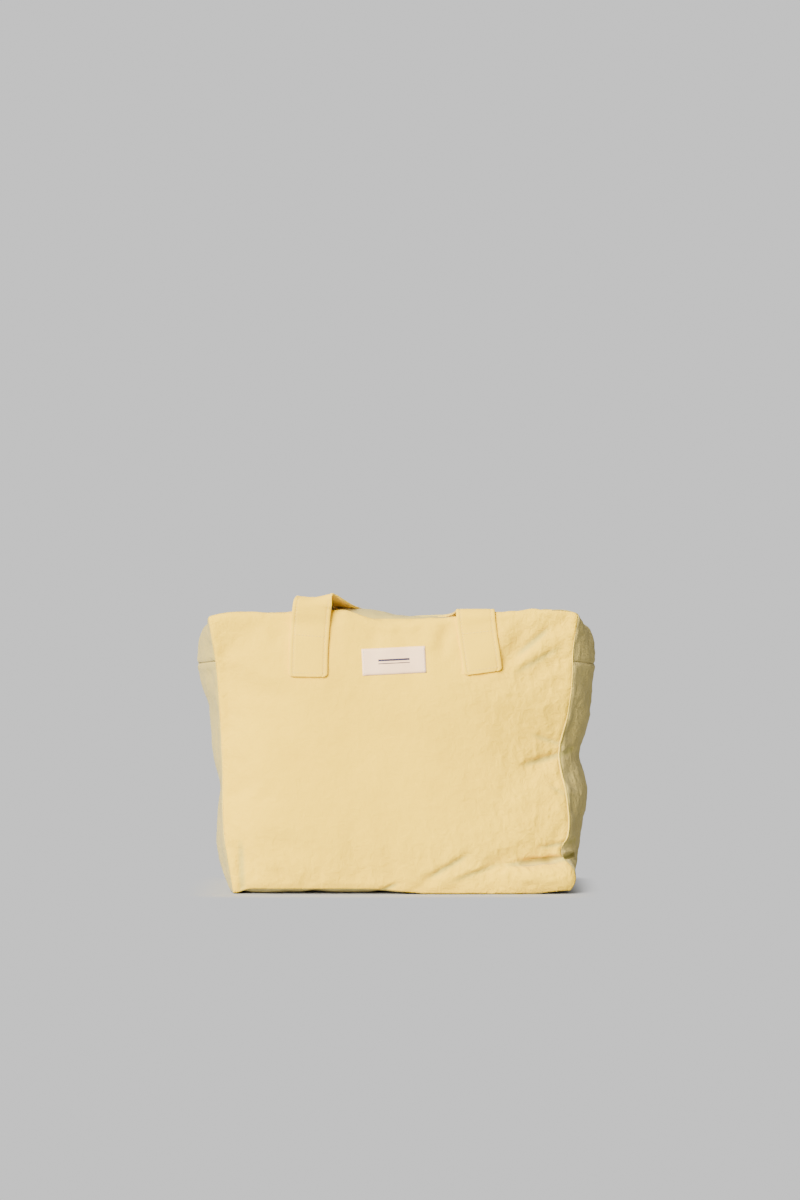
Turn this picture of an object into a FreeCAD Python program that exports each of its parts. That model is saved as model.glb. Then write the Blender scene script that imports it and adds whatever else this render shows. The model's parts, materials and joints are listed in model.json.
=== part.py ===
import FreeCAD, Part
import os

import Sketcher

# A boxy, soft canvas tote bag with a zipped top and two webbing handles.
# The bag stands on its base: +Z is up, the front faces -Y, and the origin is the centre of the base.
# The front half folds back onto the back half, so every piece that spans the depth is soft.

doc = FreeCAD.newDocument("ToteBag")

# Driving dimensions, in millimetres and degrees.
DIMENSIONS = {
    "top_width": 400,  # between the corner seams at the top edge
    "base_width": 374,  # between the corner seams at the floor
    "depth": 170,  # outside, front face to back face
    "height": 302,  # top edge of the front and back panels
    "cloth": 2.5,  # canvas and lining together
    "gap": 0.3,  # between pieces that move apart
    "front_lift": 0.8,  # the front panel's hem above the floor
    "end_drop": 50,  # how far the top panel turns down each side
    "side_bulge": 15,  # how far a side stands out at its fullest
    "lid_level": 290,  # underside of the top panel, along the zip
    "lid_edge": 298.5,  # the top panel's hinge line, along the front and back edges
    "lid_half_length": 157,  # the part of the top panel that opens
    "lid_inset": 8,  # top panel's hinge line, from the bag's outer face
    "end_start": 160,  # where the top's fixed ends begin
    "zip_half_width": 13,  # tape, from the zip's centre line
    "tape_thick": 1.0,
    "teeth_half_width": 3.6,
    "teeth_gap": 1.2,
    "teeth_thick": 2.2,
    "slider_length": 12,
    "slider_half_width": 5,
    "slider_x": 178,  # the slider's place when the bag is closed
    "wing_thick": 1.7,
    "wing_gap": 2.3,  # between the slider's upper and lower wings
    "bridge_rise": 3.6,
    "bridge_half_width": 1.0,
    "pull_length": 34,
    "pull_half_width": 4,
    "pull_thick": 1.6,
    "strap_width": 40,
    "strap_thick": 2.6,
    "strap_x": 92,  # centre of each sewn end
    "strap_low": 236,  # bottom of the sewn ends
    "strap_free": 292,  # where the strap leaves the panel
    "loop_level": 305,  # front handle's height where it lies over the top
    "loop_start": 10.5,  # where the loop begins, behind the front panel's outer face
    "loop_end": 136,  # far edge of the loop, from the front panel's outer face
    "loop_corner": 48,  # outer corner radius of the loop
    "arch_left": 322,  # top of the left strap's arch
    "strap_bulge": 6.6,  # how far a strap stands out where it bends
    "back_loop_high": 284,
    "back_loop_low": 158,
    "label_width": 69,
    "label_drop": 34.5,  # label's top edge, below the panel's top edge
    "label_rise": 29,
    "label_thick": 0.8,
    "thread": 0.6,
    "ridge": 2.4,  # the stitched ridge along each upright corner seam
}

sheet = doc.addObject("Spreadsheet::Sheet", "Sizes")
for row, (alias, value) in enumerate(DIMENSIONS.items(), start=1):
    sheet.set(f"A{row}", str(value))
    sheet.setAlias(f"A{row}", alias)
doc.recompute()

parts = []


def sized(expression):
    """The sheet's names in an expression, written as the document's own references."""
    words = expression.replace("(", " ( ").replace(")", " ) ").split()
    return " ".join(f"Sizes.{w}" if w in DIMENSIONS else w for w in words)


def keep(obj, label):
    """Names a finished sub-part."""
    obj.Label = label
    parts.append(obj)
    return obj


def block(name, low, high):
    """A rectangular block between two corners, each given as three expressions."""
    box = doc.addObject("Part::Box", name)
    for side, start, end in zip(("Length", "Width", "Height"), low, high):
        box.setExpression(side, sized(f"( {end} ) - ( {start} )"))
    for axis, start in zip("xyz", low):
        box.setExpression(f"Placement.Base.{axis}", sized(start))
    return box


def joined(name, pieces):
    """Several shapes as one."""
    fuse = doc.addObject("Part::MultiFuse", name)
    fuse.Shapes = pieces
    return fuse


def less(name, base, tool):
    """One shape with another taken out of it."""
    cut = doc.addObject("Part::Cut", name)
    cut.Base = base
    cut.Tool = tool
    return cut


def mirrored(name, source, normal=(1, 0, 0)):
    """The same shape on the other side of the bag."""
    mirror = doc.addObject("Part::Mirroring", name)
    mirror.Source = source
    mirror.Normal = FreeCAD.Vector(*normal)
    return mirror


def outline(body, name, plane, points, offset=None):
    """A closed sketch on one of the body's planes, each corner tied to two expressions."""
    sketch = body.newObject("Sketcher::SketchObject", name)
    planes = {o.Role: o for o in body.Origin.OriginFeatures}
    sketch.AttachmentSupport = (planes[plane], [""])
    sketch.MapMode = "FlatFace"
    if offset:
        sketch.setExpression("AttachmentOffset.Base.z", sized(offset))
    spots = [FreeCAD.Vector(*(float(sheet.evalExpression(sized(e))) for e in p), 0) for p in points]
    count = len(spots)
    for i, spot in enumerate(spots):
        sketch.addGeometry(Part.LineSegment(spot, spots[(i + 1) % count]), False)
    for i in range(count):
        sketch.addConstraint(Sketcher.Constraint("Coincident", i, 2, (i + 1) % count, 1))
    for i, (point, spot) in enumerate(zip(points, spots)):
        for kind, expression, value in zip(("DistanceX", "DistanceY"), point, spot):
            index = sketch.addConstraint(Sketcher.Constraint(kind, -1, 1, i, 1, value))
            sketch.setExpression(f"Constraints[{index}]", sized(expression))
    return sketch


def padded(name, plane, points, length, offset=None):
    """A PartDesign body: one closed outline, drawn out along its plane's normal, half each way."""
    body = doc.addObject("PartDesign::Body", name)
    sketch = outline(body, name + "_outline", plane, points, offset)
    pad = body.newObject("PartDesign::Pad", name + "_pad")
    pad.Profile = sketch
    pad.SideType = "Symmetric"
    pad.setExpression("Length", sized(length))
    return body


def lofted(name, sections):
    """A PartDesign body through outlines that stand across the bag at several depths."""
    body = doc.addObject("PartDesign::Body", name)
    sketches = [
        outline(body, f"{name}_{i}", "XZ_Plane", points, offset)
        for i, (offset, points) in enumerate(sections)
    ]
    loft = body.newObject("PartDesign::AdditiveLoft", name + "_loft")
    loft.Profile = sketches[0]
    loft.Sections = sketches[1:]
    loft.Ruled = True
    return body


def rounded(body, name, radius, edges):
    """The body with some of its edges rounded, found by a test on each edge."""
    doc.recompute()
    base = body.Tip
    names = [f"Edge{i}" for i, e in enumerate(base.Shape.Edges, start=1) if edges(e)]
    fillet = body.newObject("PartDesign::Fillet", name)
    fillet.Base = (base, names)
    fillet.setExpression("Radius", sized(radius))
    return body


# The front and back panels are narrower at the floor than at the top.
def panel(name, low, face):
    return padded(
        name,
        "XZ_Plane",
        [
            ("- base_width / 2", low),
            ("base_width / 2", low),
            ("top_width / 2", "height"),
            ("- top_width / 2", "height"),
        ],
        "cloth",
        face,
    )


def panels():
    keep(panel("FrontPanel", "front_lift", "depth / 2 - cloth / 2"), "front_panel")
    keep(panel("BackPanel", "0", "cloth / 2 - depth / 2"), "back_panel")
    base = block(
        "Base",
        ("- base_width / 2", "cloth + gap - depth / 2", "0"),
        ("base_width / 2", "depth / 2 - cloth", "cloth"),
    )
    keep(base, "bottom_panel")


# A side is a curved sheet: straight along its two corner seams and full in the middle.
SIDE_HEIGHTS = ("cloth + gap", "50", "130", "205", "height - end_drop")
SIDE_FULLNESS = (0, 0.4, 0.5, 0.85, 1)


def seam_x(level):
    """How far out the corner seam is at a height."""
    return f"base_width / 2 + ( top_width - base_width ) / 2 * ( {level} ) / height"


def side_section(fullness_scale):
    outer = [
        (f"{seam_x(z)} + side_bulge * {share * fullness_scale}", z)
        for z, share in zip(SIDE_HEIGHTS, SIDE_FULLNESS)
    ]
    inner = [(f"{x} - cloth", z) for x, z in outer]
    return outer + inner[::-1]


def side_gussets():
    depths = (("depth / 2 - cloth - gap", 0), ("0", 1), ("cloth - depth / 2", 0))
    right = lofted("SideGusset", [(offset, side_section(full)) for offset, full in depths])
    keep(right, "side_gusset_right")
    keep(mirrored("SideGussetLeft", right), "side_gusset_left")


# Each end of the top panel is fixed. It runs out flat, turns over the corner and ends in the side seam.
def end_section(full):
    top = "lid_level + cloth + 1"
    seam = seam_x("height - end_drop")
    outer = [
        ("end_start", top),
        (f"top_width / 2 - 7 + side_bulge * {0.2 * full}", top),
        (f"top_width / 2 - 1 + side_bulge * {0.65 * full}", "lid_level - 7"),
        (f"{seam} + side_bulge * {full}", "height - end_drop + gap"),
    ]
    inner = [
        (f"{seam} + side_bulge * {full} - cloth", "height - end_drop + gap"),
        (f"top_width / 2 - 1 - cloth + side_bulge * {0.65 * full}", "lid_level - 8"),
        (f"top_width / 2 - 8 + side_bulge * {0.2 * full}", "lid_level + 1"),
        ("end_start", "lid_level + 1"),
    ]
    return outer + inner


def top_ends():
    depths = (("depth / 2 - cloth - gap", 0), ("0", 1), ("cloth - depth / 2", 0))
    sheet_body = lofted("TopEnd", [(offset, end_section(full)) for offset, full in depths])
    slot = block(
        "TopEndSlot",
        ("end_start - 5", "- zip_half_width", "height - end_drop + 6"),
        ("top_width", "zip_half_width", "height + 20"),
    )
    right = less("TopEndRight", sheet_body, slot)
    keep(right, "top_end_panel_right")
    keep(mirrored("TopEndLeft", right), "top_end_panel_left")


# The zip's own short closed stretch at each end, where the slider stops.
def zip_ends():
    level = "lid_level + 0.3"
    outer = [
        ("end_start", f"{level} + tape_thick"),
        ("top_width / 2 - 5", f"{level} + tape_thick"),
        ("top_width / 2 + 7.5", "lid_level - 8"),
        ("top_width / 2 + 11.2", "height - end_drop + 6.5"),
    ]
    inner = [
        ("top_width / 2 + 10.2", "height - end_drop + 6.5"),
        ("top_width / 2 + 6.5", "lid_level - 8.5"),
        ("top_width / 2 - 5.5", level),
        ("end_start", level),
    ]
    tape = padded("ZipEndTape", "XZ_Plane", outer + inner, "2 * ( zip_half_width - gap )")
    slot = block(
        "ZipEndSlot",
        ("slider_x - 9", "- teeth_gap", "lid_level - 4"),
        ("slider_x + 9", "teeth_gap", "lid_level + 8"),
    )
    right = less("ZipEndRight", tape, slot)
    keep(right, "zip_end_right")
    keep(mirrored("ZipEndLeft", right), "zip_end_left")
    places = (
        ("right", "slider_x + slider_length / 2 + 3"),
        ("left", "slider_x * -1 - slider_length / 2 - 6"),
    )
    for side, x in places:
        stop = block(
            "ZipStop_" + side,
            (x, "- teeth_half_width", "lid_level + 0.3 + tape_thick"),
            (f"{x} + 3", "teeth_half_width", "lid_level + 0.3 + tape_thick + 1.6"),
        )
        keep(stop, "zip_stop_" + side)


# The opening part of the top: a front and a back half, each with its tape and its row of teeth.
# Each half slopes down a little from its hinge line to the zip.
def lids():
    hinge = "lid_inset - depth / 2"
    slope = [
        (hinge, "lid_edge - cloth / 2"),
        ("- zip_half_width", "lid_level"),
        ("- zip_half_width", "lid_level + cloth"),
        (hinge, "lid_edge + cloth / 2"),
    ]
    panel_front = padded("LidFront", "YZ_Plane", slope, "2 * lid_half_length")
    tape_front = block(
        "TapeFront",
        ("- lid_half_length", "- zip_half_width", "lid_level + 0.3"),
        ("lid_half_length", "- teeth_half_width", "lid_level + 0.3 + tape_thick"),
    )
    teeth_front = block(
        "TeethFront",
        ("- lid_half_length", "- teeth_half_width", "lid_level - 0.3"),
        ("lid_half_length", "- teeth_gap", "lid_level - 0.3 + teeth_thick"),
    )
    for name, piece in (("top_panel", panel_front), ("zip_tape", tape_front), ("zip_teeth", teeth_front)):
        keep(piece, name + "_front")
        keep(mirrored(name + "Back", piece, (0, 1, 0)), name + "_back")


# The slider: two wings joined by a post that runs between the teeth, and a bridge for the pull.
def slider():
    middle = "lid_level + 0.3 + tape_thick / 2"
    under = f"{middle} - wing_gap / 2"
    over = f"{middle} + wing_gap / 2"
    top = f"{over} + wing_thick"
    half = "slider_length / 2"
    lower = block(
        "SliderLower",
        (f"slider_x - {half}", "- slider_half_width", f"{under} - wing_thick"),
        (f"slider_x + {half}", "slider_half_width", under),
    )
    upper = block(
        "SliderUpper",
        (f"slider_x - {half}", "- slider_half_width", over),
        (f"slider_x + {half}", "slider_half_width", top),
    )
    post = block(
        "SliderPost",
        ("slider_x - 2", "- 0.8", under),
        ("slider_x + 2", "0.8", over),
    )
    arch = block(
        "SliderArch",
        ("slider_x - 4.6", "- bridge_half_width", top),
        ("slider_x + 4.6", "bridge_half_width", f"{top} + bridge_rise"),
    )
    eye = block(
        "SliderEye",
        ("slider_x - 3.2", "- 2 * bridge_half_width", top),
        ("slider_x + 3.2", "2 * bridge_half_width", f"{top} + bridge_rise - 1"),
    )
    bridge = less("SliderBridge", arch, eye)
    keep(joined("Slider", [lower, upper, post, bridge]), "zip_slider")
    plate = block(
        "PullPlate",
        ("slider_x - pull_length", "- pull_half_width", f"{top} + 0.5"),
        ("slider_x", "pull_half_width", f"{top} + 0.5 + pull_thick"),
    )
    bar = doc.addObject("Part::Cylinder", "PullBar")
    bar.setExpression("Radius", sized("pull_thick / 2"))
    bar.setExpression("Height", sized("2 * pull_half_width"))
    bar.Placement.Rotation = FreeCAD.Rotation(FreeCAD.Vector(1, 0, 0), -90)
    bar.setExpression("Placement.Base.x", sized("slider_x"))
    bar.setExpression("Placement.Base.y", sized("- pull_half_width"))
    bar.setExpression("Placement.Base.z", sized(f"{top} + 0.5 + pull_thick / 2"))
    window = block(
        "PullWindow",
        ("slider_x - 6.5", "- bridge_half_width - 0.5", top),
        ("slider_x - pull_thick / 2", "bridge_half_width + 0.5", f"{top} + 4"),
    )
    keep(less("Pull", joined("PullBody", [plate, bar]), window), "zip_pull")


# A strap's sewn end lies flat on its panel. Front and back are alike.
def sewn_ends():
    for face, sign, where in (("front", -1, "- depth / 2 - strap_thick"), ("back", 1, "depth / 2")):
        for side, x in (("left", "- strap_x"), ("right", "strap_x")):
            end = block(
                f"Sewn_{face}_{side}",
                (f"{x} - strap_width / 2", where, "strap_low"),
                (f"{x} + strap_width / 2", f"{where} + strap_thick", "strap_free"),
            )
            keep(end, f"{face}_handle_end_{side}")
        thread = "- depth / 2 - strap_thick - thread" if sign < 0 else "depth / 2 + strap_thick"
        frames = []
        for x in ("- strap_x", "strap_x"):
            outer = block(
                f"BoxStitch_{face}",
                (f"{x} - strap_width / 2 + 4", thread, "strap_low + 4"),
                (f"{x} + strap_width / 2 - 4", f"{thread} + thread", "strap_free - 12"),
            )
            inner = block(
                f"BoxStitchInside_{face}",
                (f"{x} - strap_width / 2 + 5", f"{thread} - 1", "strap_low + 5"),
                (f"{x} + strap_width / 2 - 5", f"{thread} + thread + 1", "strap_free - 13"),
            )
            frames.append(less(f"BoxStitchFrame_{face}", outer, inner))
        keep(joined(f"Stitching_{face}", frames), f"{face}_handle_stitching")


# A handle's loop is a flat U of webbing. Its legs begin where the strap has bent over.
def loop(name, plane, near, far, middle):
    outer = "strap_x + strap_width / 2"
    inner = "strap_x - strap_width / 2"
    away = "strap_width" if plane == "XY_Plane" else "- strap_width"
    points = [
        (f"- ( {outer} )", near),
        (f"- ( {inner} )", near),
        (f"- ( {inner} )", f"{far} - {away}"),
        (inner, f"{far} - {away}"),
        (inner, near),
        (outer, near),
        (outer, far),
        (f"- ( {outer} )", far),
    ]
    return padded(name, plane, points, "strap_thick", middle)


def handle_loops():
    front = loop("FrontLoop", "XY_Plane", "loop_start - depth / 2", "loop_end - depth / 2", "loop_level")
    rounded(
        front,
        "FrontLoopCorners",
        "loop_corner",
        lambda e: upright_corner(e, "XY_Plane", front),
    )
    keep(front, "front_handle")
    back = loop("BackLoop", "XZ_Plane", "back_loop_high", "back_loop_low", "- depth / 2 - 5.3")
    rounded(
        back,
        "BackLoopCorners",
        "loop_corner",
        lambda e: upright_corner(e, "XZ_Plane", back),
    )
    keep(back, "back_handle")


def upright_corner(edge, plane, body):
    """True for the two outer corner edges at a loop's far end."""
    box = edge.BoundBox
    whole = body.Tip.Shape.BoundBox
    at_side = abs(abs(box.Center.x) - whole.XMax) < 0.01
    if plane == "XY_Plane":
        return at_side and box.ZLength > 1 and abs(box.Center.y - whole.YMax) < 0.01
    return at_side and box.YLength > 1 and abs(box.Center.z - whole.ZMin) < 0.01


# Where a strap leaves its panel it stands out a little, rises and bends over to meet the loop.
def strap_bend(name, x, points):
    body = padded(name, "YZ_Plane", points, "strap_width", x)
    return body


def strap_bends():
    face = "- depth / 2"
    lane = "loop_start - depth / 2 - gap"
    for side, x, crest in (("left", "- strap_x", "arch_left"), ("right", "strap_x", "loop_level + 5.5")):
        middle = f"( {crest} + strap_free ) / 2"
        points = [
            (face, "strap_free + gap"),
            (f"{face} - 2.6", middle),
            (f"{face} + 1.2", f"{crest} - strap_thick"),
            (f"{face} + 5.5", f"{crest} - strap_thick"),
            (lane, "loop_level - strap_thick / 2"),
            (lane, "loop_level + strap_thick / 2"),
            (f"{face} + 6.5", crest),
            (f"{face} - 1", crest),
            (f"{face} - strap_bulge", middle),
            (f"{face} - strap_thick", "strap_free + gap"),
        ]
        keep(strap_bend("FrontBend_" + side, x, points), f"front_handle_bend_{side}")
    for side, x in (("left", "- strap_x"), ("right", "strap_x")):
        points = [
            ("depth / 2", "strap_free + gap"),
            ("depth / 2 + strap_thick", "strap_free + gap"),
            ("depth / 2 + 3.6", "strap_free + 3"),
            ("depth / 2 + 4", "back_loop_high + gap"),
            ("depth / 2 + strap_bulge", "back_loop_high + gap"),
            ("depth / 2 + strap_bulge", "strap_free + 3.5"),
            ("depth / 2 + 4", "strap_free + 6"),
            ("depth / 2 + 0.8", "strap_free + 5"),
        ]
        keep(strap_bend("BackBend_" + side, x, points), f"back_handle_bend_{side}")


# The sewn-on blank label, with its row of stitching.
def label():
    top = "height - label_drop"
    low = f"{top} - label_rise"
    face = "- depth / 2"
    plate = block(
        "LabelPlate",
        ("- label_width / 2", f"{face} - label_thick", low),
        ("label_width / 2", face, top),
    )
    keep(plate, "label")
    outer = block(
        "LabelStitchOuter",
        ("- label_width / 2 + 2", f"{face} - label_thick - 0.4", f"{low} + 2"),
        ("label_width / 2 - 2", f"{face} - label_thick", f"{top} - 2"),
    )
    inner = block(
        "LabelStitchInner",
        ("- label_width / 2 + 2.6", f"{face} - 2", f"{low} + 2.6"),
        ("label_width / 2 - 2.6", face, f"{top} - 2.6"),
    )
    keep(less("LabelStitches", outer, inner), "label_stitching")


# A stitched ridge stands along each upright corner seam, from above the floor to the side seam's height.
def seam_ridges():
    for face, offset in (("front", "depth / 2 - cloth / 2"), ("back", "cloth / 2 - depth / 2")):
        points = []
        for level in ("12", "height - 12"):
            points.append((seam_x(level), level))
        for level in ("height - 12", "12"):
            points.append((f"{seam_x(level)} + ridge", level))
        right = padded("Ridge_" + face, "XZ_Plane", points, "ridge", offset)
        keep(right, f"{face}_seam_ridge_right")
        keep(mirrored("RidgeLeft_" + face, right), f"{face}_seam_ridge_left")


def export():
    """Writes each sub-part's solid, once every object has been built without a fault."""
    doc.recompute()
    for obj in doc.Objects:
        faults = [s for s in obj.State if s in ("Invalid", "Error")]
        if faults:
            raise RuntimeError(f"{obj.Label}: {faults}")
    for obj in parts:
        if obj.Shape.isNull() or not obj.Shape.isValid():
            raise RuntimeError(f"{obj.Label}: no valid shape")
    os.makedirs("parts", exist_ok=True)
    for obj in parts:
        obj.Shape.exportStep(f"parts/{obj.Label}.step")
        box = obj.Shape.BoundBox
        print(
            f"{obj.Label:26s} solids {len(obj.Shape.Solids)} volume {obj.Shape.Volume:10.1f}"
            f"  x {box.XMin:7.1f} {box.XMax:7.1f}  y {box.YMin:6.1f} {box.YMax:6.1f}"
            f"  z {box.ZMin:6.1f} {box.ZMax:6.1f}"
        )


panels()
side_gussets()
top_ends()
zip_ends()
lids()
slider()
sewn_ends()
handle_loops()
strap_bends()
label()
seam_ridges()
export()
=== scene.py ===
import json
import math

import bmesh
import bpy
import numpy as np
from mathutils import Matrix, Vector, noise
from mathutils.bvhtree import BVHTree
from mathutils.kdtree import KDTree


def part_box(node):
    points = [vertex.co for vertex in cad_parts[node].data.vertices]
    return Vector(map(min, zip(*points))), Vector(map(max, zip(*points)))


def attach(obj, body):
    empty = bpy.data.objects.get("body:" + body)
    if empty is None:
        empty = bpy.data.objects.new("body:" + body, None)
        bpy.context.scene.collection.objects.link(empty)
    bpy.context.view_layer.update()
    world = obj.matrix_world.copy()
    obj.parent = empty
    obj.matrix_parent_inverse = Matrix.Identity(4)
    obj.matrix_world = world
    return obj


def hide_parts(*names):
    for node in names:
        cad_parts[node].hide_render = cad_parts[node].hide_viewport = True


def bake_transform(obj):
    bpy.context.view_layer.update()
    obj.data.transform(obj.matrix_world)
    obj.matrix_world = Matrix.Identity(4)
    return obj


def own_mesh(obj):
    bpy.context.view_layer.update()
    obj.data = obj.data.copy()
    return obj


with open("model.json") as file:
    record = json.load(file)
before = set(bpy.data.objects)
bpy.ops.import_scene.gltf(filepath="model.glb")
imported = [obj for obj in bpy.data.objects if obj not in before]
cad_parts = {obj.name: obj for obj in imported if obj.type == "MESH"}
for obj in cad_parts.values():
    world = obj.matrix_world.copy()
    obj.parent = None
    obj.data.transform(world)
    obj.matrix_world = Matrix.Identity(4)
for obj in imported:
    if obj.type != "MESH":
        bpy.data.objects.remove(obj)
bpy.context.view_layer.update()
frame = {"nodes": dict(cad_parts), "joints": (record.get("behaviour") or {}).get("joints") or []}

MM = 0.001

# Places that the frame gives.
FRONT_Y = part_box("front_panel")[0].y
BACK_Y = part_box("back_panel")[1].y
DEPTH = BACK_Y - FRONT_Y
TOP_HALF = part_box("front_panel")[1].x
SIDE_SEAM_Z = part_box("side_gusset_right")[1].z
LID_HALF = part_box("top_end_panel_right")[0].x - 1.5 * MM
ZIP_HALF = -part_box("top_panel_front")[1].y
HINGE_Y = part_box("top_panel_front")[0].y
HINGE_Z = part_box("top_panel_front")[1].z - 1.0 * MM
ZIP_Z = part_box("zip_tape_front")[1].z + 0.6 * MM
ZIP_TAPE_Z = (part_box("zip_tape_front")[0].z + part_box("zip_tape_front")[1].z) / 2
ZIP_END_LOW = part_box("zip_end_right")[0].z
STRAP_WIDTH = 42 * MM
STRAP_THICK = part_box("back_handle_end_left")[1].y - BACK_Y
BACK_LEG = -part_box("back_handle_end_left")[0].x - STRAP_WIDTH / 2
CLOTH_THICK = 1.3 * MM
LABEL_THICK = 0.6 * MM
TAPE_THICK = 0.8 * MM
JOINTS = {j["name"]: j for j in frame["joints"]}


# ---------------------------------------------------------------- small helpers


def curve(*points):
    """A smooth line through a few (where, value) points, as a function of where."""
    xs, ys = (np.array(v, float) for v in zip(*points))
    slopes = np.gradient(ys, xs)

    def value(x):
        x = np.clip(x, xs[0], xs[-1])
        i = np.clip(np.searchsorted(xs, x) - 1, 0, len(xs) - 2)
        width = xs[i + 1] - xs[i]
        t = (x - xs[i]) / width
        return (
            (2 * t**3 - 3 * t**2 + 1) * ys[i]
            + (t**3 - 2 * t**2 + t) * width * slopes[i]
            + (3 * t**2 - 2 * t**3) * ys[i + 1]
            + (t**3 - t**2) * width * slopes[i + 1]
        )

    return value


def smooth(t):
    t = np.clip(t, 0, 1)
    return t * t * (3 - 2 * t)


def mix(a, b, t):
    return a + (b - a) * t


def new_object(name, mesh):
    obj = bpy.data.objects.new(name, mesh)
    bpy.context.scene.collection.objects.link(obj)
    return obj


def apply_modifiers(obj):
    """Turns the object's modifiers into its mesh."""
    depsgraph = bpy.context.evaluated_depsgraph_get()
    depsgraph.update()
    final = bpy.data.meshes.new_from_object(obj.evaluated_get(depsgraph))
    obj.modifiers.clear()
    obj.data = final
    return obj


def finished(name, mesh):
    """An object made of a finished bmesh."""
    data = bpy.data.meshes.new(name)
    mesh.to_mesh(data)
    mesh.free()
    return new_object(name, data)


def mesh_piece(name, mesh, material):
    """An object made of a finished bmesh, its faces turned outwards, with one material."""
    bmesh.ops.recalc_face_normals(mesh, faces=mesh.faces)
    piece = finished(name, mesh)
    piece.data.materials.append(material)
    return piece


def thicken(piece, thickness):
    """Gives a one-sided piece its thickness, on the side away from its face."""
    solid = piece.modifiers.new("Thickness", "SOLIDIFY")
    solid.thickness = thickness
    solid.offset = -1
    apply_modifiers(piece)


def lofted(mesh, rings, smooth_faces=True):
    """Skins a row of equal rings and closes both ends. Returns each side face, its ring and its place."""
    faces = []
    for i, (a, b) in enumerate(zip(rings, rings[1:])):
        for k in range(len(a)):
            n = (k + 1) % len(a)
            face = mesh.faces.new([a[k], a[n], b[n], b[k]])
            face.smooth = smooth_faces
            faces.append((face, i, k))
    mesh.faces.new(rings[0][::-1])
    mesh.faces.new(rings[-1])
    return faces


def quad_sheet(mesh, uv, grid, flat, skip=None, flip=False):
    """Joins a grid of places with smooth quads. flat holds each place on flat cloth. Returns the faces."""
    rows, columns = grid.shape[:2]
    verts = [[mesh.verts.new(grid[j, i]) for i in range(columns)] for j in range(rows)]
    faces = []
    for j in range(rows - 1):
        for i in range(columns - 1):
            if skip and skip(j, i):
                continue
            corners = [(j, i), (j, i + 1), (j + 1, i + 1), (j + 1, i)]
            if flip:
                corners.reverse()
            face = mesh.faces.new([verts[a][b] for a, b in corners])
            face.smooth = True
            for loop, corner in zip(face.loops, corners):
                loop[uv].uv = flat[corner]
            faces.append(face)
    return faces


def distances(points):
    """How far along a line of points each point is."""
    steps = np.linalg.norm(np.diff(points, axis=0), axis=1)
    return np.concatenate([[0], np.cumsum(steps)])


def between(distance, where, points):
    """The place at a distance along a line of points."""
    return [np.interp(distance, where, column) for column in np.transpose(points)]


# ---------------------------------------------------------------- materials


class Nodes:
    """A short way to wire a material's nodes."""

    def __init__(self, name, roughness=0.8):
        self.material = bpy.data.materials.new(name)
        self.material.use_nodes = True
        self.tree = self.material.node_tree
        self.shader = self.tree.nodes["Principled BSDF"]
        self.shader.inputs["Roughness"].default_value = roughness

    def add(self, kind, **inputs):
        node = self.tree.nodes.new(kind)
        for key, value in inputs.items():
            self.put(node, key.replace("_", " "), value)
        return node

    def put(self, node, key, value):
        socket = node.inputs[int(key)] if key.isdigit() else node.inputs[key]
        if isinstance(value, bpy.types.NodeSocket):
            self.tree.links.new(value, socket)
        else:
            socket.default_value = value

    def math(self, operation, a, b=0.0, clamp=False):
        node = self.tree.nodes.new("ShaderNodeMath")
        node.operation = operation
        node.use_clamp = clamp
        self.put(node, "0", a)
        self.put(node, "1", b)
        return node.outputs[0]

    def noise(self, vector, scale, detail=2.0, roughness=0.5, distortion=0.0):
        node = self.add(
            "ShaderNodeTexNoise",
            Vector=vector, Scale=scale, Detail=detail, Roughness=roughness, Distortion=distortion,
        )
        return node.outputs["Fac"]

    def vector(self, operation, a, b=(0, 0, 0)):
        node = self.tree.nodes.new("ShaderNodeVectorMath")
        node.operation = operation
        self.put(node, "0", a)
        self.put(node, "1", b)
        return node.outputs["Value" if operation == "LENGTH" else "Vector"]

    def uv(self):
        return self.add("ShaderNodeUVMap").outputs[0]

    def place(self):
        return self.add("ShaderNodeTexCoord").outputs["Object"]

    def attribute(self, name):
        node = self.tree.nodes.new("ShaderNodeAttribute")
        node.attribute_name = name
        return node.outputs["Fac"]

    def finish(self, color, normal, **settings):
        """Wires the colour and the bumps, sets the shader's other inputs, and gives the material."""
        for key, value in {"Base_Color": color, "Normal": normal, **settings}.items():
            self.put(self.shader, key.replace("_", " "), value)
        return self.material

    def ramp(self, value, low, high):
        node = self.add("ShaderNodeMapRange", Value=value, From_Min=low, From_Max=high)
        return node.outputs["Result"]

    def blend(self, factor, a, b, mode="MIX"):
        node = self.tree.nodes.new("ShaderNodeMix")
        node.data_type = "RGBA"
        node.blend_type = mode
        self.put(node, "0", factor)
        self.put(node, "6", a)
        self.put(node, "7", b)
        return node.outputs[2]

    def scaled(self, vector, x, y, z=1.0):
        node = self.tree.nodes.new("ShaderNodeMapping")
        self.put(node, "0", vector)
        node.inputs["Scale"].default_value = (x, y, z)
        return node.outputs[0]

    def bump(self, height, distance, strength=1.0, before=None):
        node = self.add("ShaderNodeBump", Height=height, Distance=distance, Strength=strength)
        if before:
            self.put(node, "Normal", before)
        return node.outputs[0]


def weave(nodes, vector, pitch):
    """Over-and-under threads: two rounded wave bands, each showing where the other dips."""
    warp = nodes.add("ShaderNodeTexWave", Vector=vector, Scale=math.pi / (10 * pitch), Distortion=0.6)
    weft = nodes.add("ShaderNodeTexWave", Vector=vector, Scale=math.pi / (10 * pitch), Distortion=0.6)
    warp.bands_direction = "X"
    weft.bands_direction = "Y"
    return nodes.math("MAXIMUM", warp.outputs["Fac"], weft.outputs["Fac"])


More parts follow.
